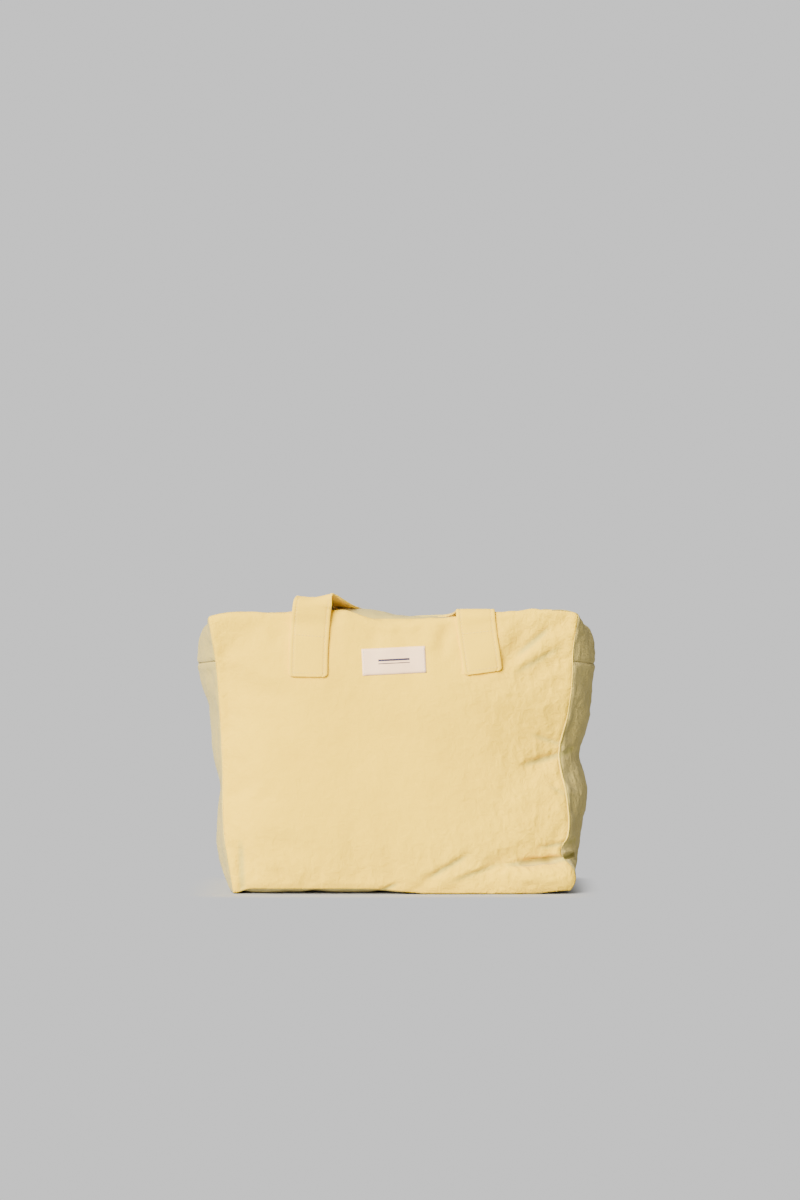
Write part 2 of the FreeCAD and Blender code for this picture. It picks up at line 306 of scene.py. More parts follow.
# Colours are linear red, green and blue. The side and back colours are painted shade: duller copies of the
# one cloth's colour, for the cloth that the warm light doesn't face.
FRONT_DYE = (0.97, 0.625, 0.010)
PAINTED_SHADE_SIDE_COLOR = (0.47, 0.370, 0.100)
PAINTED_SHADE_BACK_COLOR = (0.66, 0.500, 0.095)
# Painted shade: the darker colour painted into the weave's gaps, between the threads.
THREAD_GAP_PAINTED_SHADE_TONE = (0.5, 0.34, 0.05, 1)
# Painted shade: the darker, duller colour painted into the front's sharp fold valleys.
FOLD_PAINTED_SHADE_TONE = (0.50, 0.42, 0.09, 1)


def canvas(name, color=FRONT_DYE, crinkle=1.0, pitch=0.75 * MM):
    """Washed cotton canvas: plain weave, slubby threads, crumpled surface and faint uneven dye.

    The cloth's "crumple" says where it is most pressed, and its "valley" where a sharp fold dips, where the
    colour is painted darker and duller as painted shade.
    """
    nodes = Nodes(name, roughness=0.92)
    uv = nodes.uv()
    place = nodes.place()
    threads = weave(nodes, uv, pitch)
    slub_across = nodes.noise(nodes.scaled(uv, 60, 900), 1.0, 2.0)
    slub_along = nodes.noise(nodes.scaled(uv, 900, 60), 1.0, 2.0)
    slubs = nodes.math("ADD", slub_across, slub_along)
    crumple = nodes.noise(place, 110, 5.0, 0.62, 0.8)
    press = nodes.math("ADD", nodes.math("MULTIPLY", nodes.attribute("crumple"), 0.75), 0.25)
    fine = nodes.noise(place, 420, 3.0, 0.6)
    patches = nodes.noise(place, 14, 3.0, 0.55)
    worn = nodes.noise(place, 60, 4.0, 0.6)

    dark = tuple(c * k for c, k in zip(color, (0.93, 0.915, 0.88))) + (1,)
    light = tuple(min(1, c * k) for c, k in zip(color, (1.03, 1.035, 1.07))) + (1,)
    tone = nodes.blend(nodes.ramp(patches, 0.35, 0.65), dark, light)
    tone = nodes.blend(nodes.ramp(worn, 0.3, 0.75), tone, color + (1,))
    grain = nodes.ramp(nodes.math("ADD", slubs, fine), 1.1, 1.9)
    tone = nodes.blend(0.16, tone, nodes.blend(grain, dark, light))
    # Painted shade: the weave's gaps between the threads are painted a little darker.
    gap_painted_shade = nodes.math("MULTIPLY", nodes.ramp(threads, 0.9, 0.3), 0.07)
    tone = nodes.blend(gap_painted_shade, tone, THREAD_GAP_PAINTED_SHADE_TONE)
    # Painted shade: darker and duller where a sharp fold dips.
    valley = nodes.math("MULTIPLY", nodes.attribute("valley"), 0.75)
    tone = nodes.blend(valley, tone, FOLD_PAINTED_SHADE_TONE)

    first = nodes.bump(crumple, 2.6 * MM * crinkle, press)
    second = nodes.bump(fine, 0.5 * MM, 0.45, first)
    third = nodes.bump(slubs, 0.18 * MM, 0.6, second)
    fourth = nodes.bump(threads, 0.16 * MM, 0.7, third)
    return nodes.finish(tone, fourth, Sheen_Weight=0.12, Sheen_Roughness=0.6, Specular_IOR_Level=0.18)


def thread_material(name, color):
    """Twisted sewing thread."""
    nodes = Nodes(name, roughness=0.7)
    place = nodes.place()
    twist = nodes.noise(place, 2600, 2.0)
    tone = nodes.blend(twist, tuple(c * 0.88 for c in color) + (1,), color + (1,))
    return nodes.finish(tone, nodes.bump(twist, 0.1 * MM, 0.6), Specular_IOR_Level=0.3)


# Plain bars printed on the label: middle, half length, height of the centre, half height, in mm.
LABEL_BARS = ((0.0, 17.0, 1.2, 1.1), (0.0, 17.0, -2.4, 0.45))


def label_material(name):
    """A tight, smooth cotton tape, blank but for a few plain printed bars."""
    nodes = Nodes(name, roughness=0.75)
    uv = nodes.uv()
    place = nodes.place()
    threads = weave(nodes, uv, 0.35 * MM)
    cloud = nodes.noise(place, 90, 3.0)
    tone = nodes.blend(nodes.ramp(cloud, 0.3, 0.7), (0.93, 0.63, 0.38, 1), (0.96, 0.66, 0.41, 1))
    split = nodes.add("ShaderNodeSeparateXYZ", Vector=uv)
    ink = None
    for middle, half_length, centre, half_height in LABEL_BARS:
        along = nodes.math("SUBTRACT", split.outputs[0], middle * MM)
        across = nodes.math("LESS_THAN", nodes.math("ABSOLUTE", along), half_length * MM)
        offset = nodes.math("ABSOLUTE", nodes.math("SUBTRACT", split.outputs[1], centre * MM))
        bar = nodes.math("MULTIPLY", across, nodes.math("LESS_THAN", offset, half_height * MM))
        ink = bar if ink is None else nodes.math("ADD", ink, bar)
    worn = nodes.math("MULTIPLY", ink, nodes.ramp(nodes.noise(place, 400, 2.0), -0.6, 0.35))
    printed = nodes.blend(worn, tone, (0.035, 0.03, 0.06, 1))
    return nodes.finish(printed, nodes.bump(threads, 0.08 * MM, 0.5), Specular_IOR_Level=0.3)


def tape_material(name):
    """Herringbone zip tape."""
    nodes = Nodes(name, roughness=0.8)
    uv = nodes.uv()
    threads = weave(nodes, uv, 0.5 * MM)
    ribs = nodes.noise(nodes.scaled(uv, 900, 90), 1.0, 2.0)
    tone = nodes.blend(ribs, (0.68, 0.56, 0.32, 1), (0.80, 0.68, 0.42, 1))
    return nodes.finish(tone, nodes.bump(threads, 0.12 * MM, 0.7))


def plastic_material(name):
    """Moulded zip teeth with faint scuffs."""
    nodes = Nodes(name, roughness=0.45)
    place = nodes.place()
    scuffs = nodes.noise(place, 700, 3.0)
    tone = nodes.blend(scuffs, (0.66, 0.55, 0.33, 1), (0.76, 0.65, 0.42, 1))
    return nodes.finish(tone, nodes.bump(scuffs, 0.05 * MM, 0.4), Roughness=nodes.ramp(scuffs, -0.6, 1.6))


def metal_material(name):
    """Satin brass, brushed a little by handling."""
    nodes = Nodes(name, roughness=0.35)
    place = nodes.place()
    brushed = nodes.noise(nodes.scaled(place, 250, 3500, 3500), 1.0, 3.0)
    tone = nodes.blend(nodes.noise(place, 300, 3.0), (0.56, 0.40, 0.17, 1), (0.74, 0.56, 0.28, 1))
    rough = nodes.ramp(brushed, -1.2, 2.2)
    return nodes.finish(tone, nodes.bump(brushed, 0.03 * MM, 0.5), Roughness=rough, Metallic=1.0)


CANVAS = canvas("canvas")
# Painted shade: the sides, base, top ends, flaps, back and back strap get duller shaded copies of the one
# canvas.
PAINTED_SHADE_SIDE_CANVAS = canvas("painted_shade_side_canvas", color=PAINTED_SHADE_SIDE_COLOR)
PAINTED_SHADE_BACK_CANVAS = canvas("painted_shade_back_canvas", color=PAINTED_SHADE_BACK_COLOR)
STRAP = canvas("strap_canvas", crinkle=0.45)
PAINTED_SHADE_BACK_STRAP = canvas("painted_shade_back_strap_canvas", color=PAINTED_SHADE_BACK_COLOR, crinkle=0.45)
THREAD = thread_material("thread", (0.86, 0.60, 0.12))
LABEL = label_material("label_tape")
LABEL_THREAD = thread_material("label_thread", (0.82, 0.74, 0.68))
PIPING = canvas("piping_canvas", color=(0.96, 0.70, 0.08), crinkle=0.3)
TAPE = tape_material("zip_tape")
TEETH = plastic_material("zip_teeth")
METAL = metal_material("zip_metal")


# ---------------------------------------------------------------- the bag's shape
# The cloth is one shell. Its outline is set by a few smooth lines; heights and places are in metres.
# SEAM and SIDE give a corner seam's or a gusset's x at each height. RECESS says how far, in mm, a wall
# falls back beside its corner seam at each height. TOP and ROLL give heights along a top edge, and HUMP
# the rise, in mm, of the front flap under the lifted handle.

SEAM_RIGHT = curve(
    (0, 0.187), (0.008, 0.1945), (0.020, 0.1975), (0.031, 0.193), (0.041, 0.181), (0.062, 0.1885),
    (0.102, 0.188), (0.153, 0.1795), (0.195, 0.189), (0.235, 0.1935), (0.258, 0.1935), (0.304, 0.200),
)
SEAM_LEFT = curve(
    (0, -0.174), (0.06, -0.184), (0.15, -0.187), (0.205, -0.190), (0.252, -0.1935), (0.302, -0.202),
)
RECESS_RIGHT = curve(
    (0, 4), (0.02, 3.5), (0.04, 12), (0.062, 10), (0.10, 12), (0.153, 20),
    (0.20, 14), (0.24, 8), (0.28, 3), (0.304, 1),
)
RECESS_LEFT = curve((0, 7), (0.05, 11), (0.2, 14), (0.25, 9), (0.28, 3), (0.302, 1))
SEAM_BACK = curve(
    (0, 0.183), (0.05, 0.188), (0.10, 0.184), (0.16, 0.189), (0.20, 0.187), (0.25, 0.194), (0.303, 0.2),
)
RECESS_BACK = curve((0, 5), (0.05, 7), (0.10, 12), (0.16, 9), (0.20, 12), (0.25, 6), (0.303, 1))
SIDE_RIGHT = curve(
    (0, 0.190), (0.03, 0.200), (0.077, 0.2065), (0.110, 0.2125), (0.148, 0.2055),
    (0.190, 0.215), (0.22, 0.2165), (0.2525, 0.2215),
)
SIDE_LEFT = curve(
    (0, -0.180), (0.025, -0.190), (0.06, -0.1945), (0.12, -0.1915), (0.146, -0.198),
    (0.19, -0.2015), (0.206, -0.204), (0.224, -0.2105), (0.2525, -0.217),
)
TOP_FRONT = curve(
    (-0.202, 0.3), (-0.19, 0.3035), (-0.12, 0.3055), (-0.066, 0.308), (-0.045, 0.3065), (-0.018, 0.2945),
    (0.016, 0.2935), (0.04, 0.298), (0.07, 0.3005), (0.118, 0.3055), (0.165, 0.3085), (0.192, 0.307),
    (0.2, 0.3035),
)
BELLY = curve((-0.2, 0.3), (-0.13, 0.9), (-0.04, 1.0), (0.05, 0.85), (0.12, 0.4), (0.2, 0.1))
TOP_BACK = curve((-0.2, 0.301), (-0.1, 0.304), (0.02, 0.300), (0.12, 0.304), (0.2, 0.302))
ROLL_FRONT = curve(
    (-0.2, 0.302), (-0.12, 0.306), (-0.066, 0.308), (-0.045, 0.3055), (-0.018, 0.2975),
    (0.016, 0.2965), (0.04, 0.298), (0.07, 0.301), (0.118, 0.306), (0.165, 0.309), (0.2, 0.304),
)
HUMP = curve(
    (-0.157, 0), (-0.13, 4), (-0.10, 10), (-0.06, 14.5), (-0.041, 14.0), (-0.019, 11.5),
    (0.001, 7.0), (0.014, 5.5), (0.028, 3.5), (0.07, 2.5), (0.12, 3.0), (0.157, 0),
)

# Grid counts, for cells of about 7 mm.
LOW_ROWS = 36
UP_ROWS = 7
ROWS = LOW_ROWS + UP_ROWS + 1
END_COLUMNS = 6
LID_COLUMNS = 46
LID_STEPS = 9
# Depths of the lines that run from front to back: close at the top edge, even on a flap, two at the zip.
DEPTH_STEPS = (
    [FRONT_Y, FRONT_Y + 1.8 * MM, FRONT_Y + 4.4 * MM, HINGE_Y]
    + [mix(HINGE_Y, -ZIP_HALF, i / LID_STEPS) for i in range(1, LID_STEPS + 1)]
    + [mix(-ZIP_HALF, 0, i / 2) for i in range(1, 3)]
)
DEPTH_STEPS = DEPTH_STEPS + [-y for y in DEPTH_STEPS[-2::-1]]
SHARE = (np.array(DEPTH_STEPS) - FRONT_Y) / DEPTH
COLUMNS = np.concatenate([
    np.linspace(-TOP_HALF, -LID_HALF, END_COLUMNS + 1),
    np.linspace(-LID_HALF, LID_HALF, LID_COLUMNS + 1)[1:-1],
    np.linspace(LID_HALF, TOP_HALF, END_COLUMNS + 1),
])
MIDDLE = len(SHARE) // 2
ACROSS = (COLUMNS + TOP_HALF) / (2 * TOP_HALF)
PARTS = (
    "front", "back", "side_left", "side_right", "base", "end_left", "end_right", "flap_front", "flap_back",
    "hem_front", "hem_back",
)


def crease(x, z, a, b, width, depth, ridge=0.35):
    """A fold along a line from a to b: a valley, and a lower ridge above it. Metres out of the cloth."""
    (ax, az), (bx, bz) = a, b
    length = math.dist(a, b)
    ux, uz = (bx - ax) / length, (bz - az) / length
    along = (x - ax) * ux + (z - az) * uz
    off = (z - az) * ux - (x - ax) * uz
    reach = width + max(width, 0.35 * length)
    fade = smooth((along + width) / reach) * smooth((length - along + width) / reach)
    valley = -np.exp(-((off / width) ** 2))
    crest = ridge * np.exp(-(((off - 1.7 * width) / (1.1 * width)) ** 2))
    return depth * fade * (valley + crest)


def belly_rise(z):
    """How full a wall is at a height: nothing at the floor and the top edge, most half way up."""
    return np.sin(np.pi * np.clip(z / 0.30, 0, 1)) ** 0.8


# Broad folds: from and to as (x, z) in metres, then half width and depth in mm.
FRONT_FOLDS = (
    ((0.112, 0.243), (0.150, 0.281), 9, 4.6),
    ((0.146, 0.279), (0.192, 0.296), 9, 3.4),
    ((0.122, 0.262), (0.150, 0.300), 8, 1.8),
    ((0.130, 0.226), (0.192, 0.262), 10, 2.6),
    ((0.048, 0.256), (0.060, 0.294), 7, 3.2),
    ((0.140, 0.134), (0.180, 0.154), 9, 5.0),
    ((0.150, 0.178), (0.184, 0.158), 8, 2.4),
    ((0.146, 0.108), (0.186, 0.090), 8, 1.8),
    ((0.128, 0.035), (0.188, 0.042), 4.5, 11.0),
    ((0.085, 0.030), (0.135, 0.036), 6, 3.0),
    ((0.150, 0.050), (0.188, 0.060), 6, 2.4),
    ((0.020, 0.006), (0.092, 0.050), 6, 3.0),
    ((0.055, 0.006), (0.120, 0.032), 5, 2.2),
    ((-0.020, 0.000), (0.004, 0.012), 5, 2.0),
    ((-0.169, 0.006), (-0.166, 0.050), 5, 3.6),
    ((-0.186, 0.240), (-0.130, 0.205), 12, 2.4),
    ((-0.150, 0.215), (-0.080, 0.120), 20, 2.2),
    ((-0.060, 0.225), (0.030, 0.140), 22, 1.6),
    ((0.040, 0.200), (0.120, 0.090), 20, 2.4),
    ((-0.150, 0.060), (-0.040, 0.030), 14, 2.0),
)


def folded(out, x, z, folds):
    """How far a wall's cloth stands out once its broad folds are added to what it had."""
    return sum((crease(x, z, a, b, width * MM, depth * MM) for a, b, width, depth in folds), out)


def front_relief(x, z):
    """How far the front stands out of its flat plane: its belly, the folds, and the lip over its foot."""
    out = folded(6.5 * MM * belly_rise(z) * BELLY(x), x, z, FRONT_FOLDS)
    lip = smooth((x - 0.10) / 0.06) * np.exp(-(((z - 0.019) / 0.012) ** 2))
    return out + 6.0 * MM * lip


def row_height(j, foot, top):
    """Height of row j at each column: even steps to the side seam, then even steps to the top edge."""
    if j <= LOW_ROWS:
        return mix(foot, SIDE_SEAM_Z, j / LOW_ROWS)
    return mix(SIDE_SEAM_Z, top, (j - LOW_ROWS) / UP_ROWS)


def front_grid():
    """Rows of the front from the floor to the top edge: positions, one row after another."""
    lifted = smooth((COLUMNS + 0.197) / 0.016) * smooth((0.04 - COLUMNS) / 0.09)
    foot = 1.0 * MM + 5.2 * MM * lifted + 3.0 * MM * smooth((COLUMNS - 0.15) / 0.05)
    grid = np.zeros((ROWS, len(COLUMNS), 3))
    for j in range(ROWS):
        z = row_height(j, foot, TOP_FRONT(COLUMNS))
        left, right = SEAM_LEFT(z[0]), SEAM_RIGHT(z[-1])
        x = mix(left, right, ACROSS)
        from_left, from_right = np.maximum(x - left, 0), np.maximum(right - x, 0)
        recess = RECESS_LEFT(z[0]) * np.exp(-((from_left / 0.022) ** 1.5))
        recess = recess + RECESS_RIGHT(z[-1]) * np.exp(-((from_right / 0.05) ** 1.2))
        free = smooth(from_left / 0.03) * smooth(from_right / 0.012)
        turn_under = 4.0 * MM * np.exp(-z / 0.006)
        turn_over = 1.5 * MM * np.exp(-(TOP_FRONT(COLUMNS) - z) / 0.004)
        y = FRONT_Y + recess * MM - front_relief(x, z) * free + turn_under + turn_over
        grid[j] = np.stack([x, y, z], axis=1)
    return grid


BACK_FOLDS = (
    ((-0.19, 0.235), (-0.09, 0.165), 12, 3.4),
    ((-0.19, 0.100), (-0.12, 0.128), 10, 3.4),
    ((0.190, 0.212), (0.110, 0.130), 11, 3.6),
    ((0.190, 0.098), (0.120, 0.088), 9, 3.0),
    ((-0.13, 0.052), (0.0, 0.016), 8, 3.4),
    ((0.05, 0.014), (0.175, 0.048), 8, 3.6),
    ((-0.04, 0.150), (0.06, 0.060), 22, 2.6),
    ((-0.16, 0.280), (-0.12, 0.240), 8, 2.4),
    ((0.185, 0.282), (0.125, 0.250), 8, 2.6),
    ((-0.02, 0.290), (0.03, 0.235), 12, 2.2),
)


def back_grid():
    """The back, like the front but plainer: it isn't pulled about by a lifted handle."""
    foot = np.full_like(COLUMNS, 1.2 * MM)
    grid = np.zeros((ROWS, len(COLUMNS), 3))
    for j in range(ROWS):
        z = row_height(j, foot, TOP_BACK(COLUMNS))
        left, right = -SEAM_BACK(z[0]), SEAM_BACK(z[-1])
        x = mix(left, right, ACROSS)
        from_side = np.maximum(np.minimum(x - left, right - x), 0)
        free = smooth(from_side / 0.02)
        out = folded(4.0 * MM * belly_rise(z) * np.cos(np.pi * x / 0.42), x, z, BACK_FOLDS)
        recess = RECESS_BACK(z) * MM * np.exp(-((from_side / 0.03) ** 1.3))
        ends = 4.0 * MM * np.exp(-z / 0.006) + 1.5 * MM * np.exp(-(TOP_BACK(COLUMNS) - z) / 0.004)
        grid[j] = np.stack([x, BACK_Y - recess + out * free - ends, z], axis=1)
    return grid


def fullness(share):
    """How far a side bulges at a share of the depth: 0 at both seams, 1 in the middle, boxy between."""
    return 1 - np.abs(2 * share - 1) ** 2.6


SIDE_SEAM_DROP = 3.5 * MM


def side_grid(front, back, outermost):
    """A gusset between a front seam column and a back seam column, both from the floor upwards."""
    grid = np.zeros((LOW_ROWS + 1, len(SHARE), 3))
    for j in range(LOW_ROWS + 1):
        point = front[j] + (back[j] - front[j]) * SHARE[:, None]
        middle = outermost(point[:, 2])
        point[:, 0] = mix(point[:, 0], middle, fullness(SHARE))
        point[:, 2] -= SIDE_SEAM_DROP * fullness(SHARE) * j / LOW_ROWS
        grid[j] = point
    return grid


def slope_share(y):
    """How far down a flap a depth is: 0 at its hinge, 1 at the zip."""
    return np.clip((abs(HINGE_Y) - np.abs(y)) / (abs(HINGE_Y) - ZIP_HALF), 0, 1)


def top_height(edge_front, edge_back, roll, y):
    """Height of the top at a depth: over the edge, to the hinge line, then down to the zip."""
    edge = np.where(y < 0, edge_front, edge_back)
    rim = smooth((np.abs(y) - abs(HINGE_Y)) / (abs(FRONT_Y) - abs(HINGE_Y)))
    crest = np.where(y < 0, roll, edge_back + 0.5 * MM)
    level = mix(HINGE_Z, edge, rim)
    level = level + np.maximum(crest - level, 0) * np.sin(np.pi * rim) ** 0.9
    inner = mix(HINGE_Z, ZIP_Z, slope_share(y) ** 0.85)
    return np.where(np.abs(y) > abs(HINGE_Y), level, inner)


def top_strip(front_edge, back_edge, roll):
    """One line of points across the top, from a front edge point to a back edge point."""
    line = front_edge + (back_edge - front_edge) * SHARE[:, None]
    y = np.array(DEPTH_STEPS)
    line[:, 2] = top_height(front_edge[2], back_edge[2], roll, y)
    slack = slope_share(y)
    puffed = np.sin(np.pi * slack**0.85) * (slack < 1)
    hump = np.where(y < 0, HUMP(front_edge[0]), 2.5) * MM
    line[:, 2] += hump * puffed * smooth((LID_HALF - abs(front_edge[0])) / 0.012)
    line[0], line[-1] = front_edge, back_edge
    inside = (y > HINGE_Y - 1e-6) & (y < -HINGE_Y + 1e-6)
    line[inside, 1] = y[inside]
    return line


def level_line(f, b, column, corner, share):
    """A line across the end of the top, at a share of the way in from the corner to the lids."""
    flat = top_strip(f, b, ROLL_FRONT(column))
    line = flat.copy()
    edge_x = f[0] + (b[0] - f[0]) * SHARE
    reach = math.copysign(mix(abs(corner[0]), LID_HALF, share), corner[0])
    line[:, 0] = mix(edge_x, mix(reach, edge_x, share**2), fullness(SHARE))
    round_z = mix(f[2] + (b[2] - f[2]) * SHARE, corner[2], fullness(SHARE))
    line[:, 2] = mix(round_z, flat[:, 2], smooth(share * 1.15))
    line[0], line[-1] = f, b
    return line


def end_grid(front, back, side):
    """One end of the top: up the side from the side seam, over the corner, and in to the lids."""
    sign = 1 if side == "right" else -1
    column = -1 if side == "right" else 0
    outermost = (SIDE_RIGHT if side == "right" else SIDE_LEFT)(SIDE_SEAM_Z)
    profile_x = curve(
        (0, abs(outermost)), (0.3, abs(outermost) - 1 * MM), (0.62, abs(outermost) - 4 * MM),
        (0.85, abs(outermost) - 8.5 * MM), (1, abs(outermost) - 17 * MM),
    )
    low = SIDE_SEAM_Z - SIDE_SEAM_DROP
    profile_z = curve((0, low), (0.3, 0.267), (0.62, 0.281), (0.85, 0.2893), (1, 0.2922))
    lines = []
    for k in range(UP_ROWS + 1):
        f, b = front[LOW_ROWS + k, column], back[LOW_ROWS + k, column]
        line = f + (b - f) * SHARE[:, None]
        share = k / UP_ROWS
        line[:, 0] = mix(line[:, 0], sign * profile_x(share), fullness(SHARE))
        line[:, 2] = mix(line[:, 2], profile_z(share), fullness(SHARE))
        lines.append(line)
    corner = lines[-1][MIDDLE]
    for m in range(1, END_COLUMNS + 1):
        i = len(COLUMNS) - 1 - m if side == "right" else m
        lines.append(level_line(front[-1, i], back[-1, i], COLUMNS[i], corner, m / END_COLUMNS))
    return np.array(lines)


class Shell:
    """Collects grids of quads. Each face knows which part of the bag it is."""

    def __init__(self):
        self.mesh = bmesh.new()
        self.uv = self.mesh.loops.layers.uv.new("UVMap")

    def add(self, grid, part, flat, skip=None, flip=False):
        for face in quad_sheet(self.mesh, self.uv, grid, flat, skip, flip):
            face.material_index = PARTS.index(part)

    def finish(self, name):
        loose = [v for v in self.mesh.verts if not v.link_faces]
        bmesh.ops.delete(self.mesh, geom=loose, context="VERTS")
        bmesh.ops.remove_doubles(self.mesh, verts=self.mesh.verts, dist=0.02 * MM)
        return finished(name, self.mesh)


def in_zip_slot(y_index, lowest):
    """True for a cell between the two edges of the zip's slot."""
    middle = 0.5 * (DEPTH_STEPS[y_index] + DEPTH_STEPS[y_index + 1])
    return abs(middle) < ZIP_HALF and lowest > ZIP_END_LOW - 4 * MM


def base_grid(front, back, left, right):
    """The base between the lowest lines of the four walls, flat on the floor inside its edges."""
    grid = front[None] + (back - front)[None] * SHARE[:, None, None]
    for k, share in enumerate(SHARE):
        grid[k, :, 0] = mix(left[k, 0], right[k, 0], ACROSS)
        inside = smooth(share * DEPTH / 0.02) * smooth((1 - share) * DEPTH / 0.02)
        inside = inside * smooth(ACROSS * 18) * smooth((1 - ACROSS) * 18)
        grid[k, :, 2] = mix(grid[k, :, 2], 1.0 * MM, inside)
    return grid


def build_shell():
    """The whole bag as one sheet of quads: four walls, the base, the ends of the top, and the flaps."""
    front, back = front_grid(), back_grid()
    shell = Shell()
    shell.add(front, "front", front[..., [0, 2]])
    shell.add(back, "back", back[..., [0, 2]], flip=True)
    side_right = side_grid(front[:, -1], back[:, -1], SIDE_RIGHT)
    side_left = side_grid(front[:, 0], back[:, 0], SIDE_LEFT)
    shell.add(side_right, "side_right", side_right[..., 1:])
    shell.add(side_left, "side_left", side_left[..., 1:], flip=True)

    base = base_grid(front[0], back[0], side_left[0], side_right[0])
    shell.add(base, "base", base[..., :2], flip=True)

    for side in ("left", "right"):
        end = end_grid(front, back, side)
        flat = np.stack([end[..., 1], end[..., 2] - np.abs(end[..., 0])], axis=-1)
        height = end[:, MIDDLE, 2]

        def slot(j, i):
            return in_zip_slot(i, min(height[j], height[j + 1]))

        shell.add(end, "end_" + side, flat, skip=slot, flip=side == "left")

    lids = range(END_COLUMNS, END_COLUMNS + LID_COLUMNS + 1)
    top = np.array([top_strip(front[-1, i], back[-1, i], ROLL_FRONT(COLUMNS[i])) for i in lids])
    top = top.transpose(1, 0, 2)
    hinge = DEPTH_STEPS.index(HINGE_Y)
    zip_edge = min(range(len(DEPTH_STEPS)), key=lambda k: abs(DEPTH_STEPS[k] + ZIP_HALF))
    last = len(DEPTH_STEPS) - 1
    strips = (
        ("hem_front", 0, hinge), ("flap_front", hinge, zip_edge),
        ("flap_back", last - zip_edge, last - hinge), ("hem_back", last - hinge, last),
    )
    for part, start, end in strips:
        strip = top[start : end + 1]
        shell.add(strip, part, strip[..., :2])
    return shell.finish("bag_shell")


def seam_vertices(mesh):
    """Vertices on the open edges, or where two parts of the bag meet."""
    edges = {}
    for polygon in mesh.polygons:
        for key in polygon.edge_keys:
            edges.setdefault(key, []).append(polygon.material_index)
    seams = set()
    for key, sides in edges.items():
        if len(sides) == 1 or sides[0] != sides[1]:
            seams.update(key)
    return seams


SETTLE_FRAMES = 30
SETTLE_CAP = 6.0 * MM
SEAM_SHARPNESS = 0.75
LOWEST = 0.4 * MM


def settle_cloth(obj):
    """Lets the cut cloth, a little too big for its seams, buckle and swell as worn canvas does."""
    rest = np.array([v.co for v in obj.data.vertices], float)
    add_cloth(obj)
    scene = bpy.context.scene
    for number in range(1, SETTLE_FRAMES + 1):
        scene.frame_set(number)
    apply_modifiers(obj)
    scene.frame_set(1)
    moved = np.array([v.co for v in obj.data.vertices], float) - rest
    length = np.linalg.norm(moved, axis=1, keepdims=True)
    moved = moved * (SETTLE_CAP * np.tanh(length / SETTLE_CAP) / np.maximum(length, 1e-9))
    settled = rest + moved
    settled[:, 2] = np.maximum(settled[:, 2], LOWEST)
    obj.data.vertices.foreach_set("co", settled.ravel())
    obj.vertex_groups.clear()


def add_cloth(obj):
    """Canvas held at its seams, a little loose where it is crumpled, and blown out softly from inside."""
    pins = obj.vertex_groups.new(name="seams")
    pins.add(sorted(seam_vertices(obj.data)), 1.0, "REPLACE")
    cloth = obj.modifiers.new("Cloth", "CLOTH")
    settings = cloth.settings
    settings.vertex_group_mass = "seams"
    settings.quality = 6
    settings.mass = 0.25
    settings.tension_stiffness = 20
    settings.compression_stiffness = 20
    settings.shear_stiffness = 8
    settings.bending_stiffness = 0.6
    loose = obj.vertex_groups.new(name="loose")
    for vertex in obj.data.vertices:
        loose.add([vertex.index], crumpled(vertex.co), "REPLACE")
    settings.vertex_group_shrink = "loose"
    settings.shrink_min = -0.006
    settings.shrink_max = -0.04
    settings.use_pressure = True
    settings.uniform_pressure_force = 0.6
    settings.effector_weights.gravity = 0
    cloth.collision_settings.use_collision = False
    cloth.point_cache.frame_end = SETTLE_FRAMES


def subdivide(obj):
    """Finer quads, with the seams kept nearly sharp."""
    subdivision = obj.modifiers.new("Subdivision", "SUBSURF")
    subdivision.levels = subdivision.render_levels = 2
    subdivision.boundary_smooth = "PRESERVE_CORNERS"
    crease_layer = obj.data.attributes.new("crease_edge", "FLOAT", "EDGE")
    seams = seam_vertices(obj.data)
    sharp = [SEAM_SHARPNESS * seams.issuperset(edge.vertices) for edge in obj.data.edges]
    crease_layer.data.foreach_set("value", sharp)
    apply_modifiers(obj)


def refine(obj):
    """Seams drawn in and puckered, creases at two smaller sizes, and the front's narrow folds."""
    subdivide(obj)
    mesh = obj.data
    seams = sorted(seam_vertices(mesh))
    tree = KDTree(len(seams))
    for index in seams:
        tree.insert(mesh.vertices[index].co, index)
    tree.balance()
    normals = [v.normal.copy() for v in mesh.vertices]
    wear = mesh.attributes.new("crumple", "FLOAT", "POINT")
    # The valley attribute says where the canvas paints shade into the front's sharp folds.
    painted_fold_shade_mask = mesh.attributes.new("valley", "FLOAT", "POINT")
    for vertex, normal, worn, valley in zip(mesh.vertices, normals, wear.data, painted_fold_shade_mask.data):
        place = vertex.co.copy()
        distance = tree.find(place)[2]
        busy = crumpled(place)
        worn.value = busy
        offset = seam_relief(place, distance) + small_creases(place, busy) * smooth(distance / 0.012)
        offset *= smooth((place.z - 0.001) / 0.014)
        if normal.y < -0.3 and place.y < FRONT_Y / 2:
            fold = sharp_folds(place)
            valley.value = float(smooth(-fold / (1.8 * MM)))
            offset += fold * (0.35 + 0.65 * smooth(distance / 0.006))
        vertex.co = place + normal * float(offset)
        vertex.co.y -= held_flat(vertex.co)
        vertex.co.z = max(vertex.co.z, 0.2 * MM)


def held_flat(place):
    """How far the back's sewn strap ends press the cloth in, where it would stand out under them."""
    from_middle = abs(abs(place.x) - BACK_LEG)
    beside = 1 - smooth((from_middle - 0.018) / 0.016)
    above = smooth((place.z - 0.215) / 0.018)
    proud = max(0.0, place.y - BACK_Y - 1.3 * MM)
    return float(0.85 * proud * beside * above)


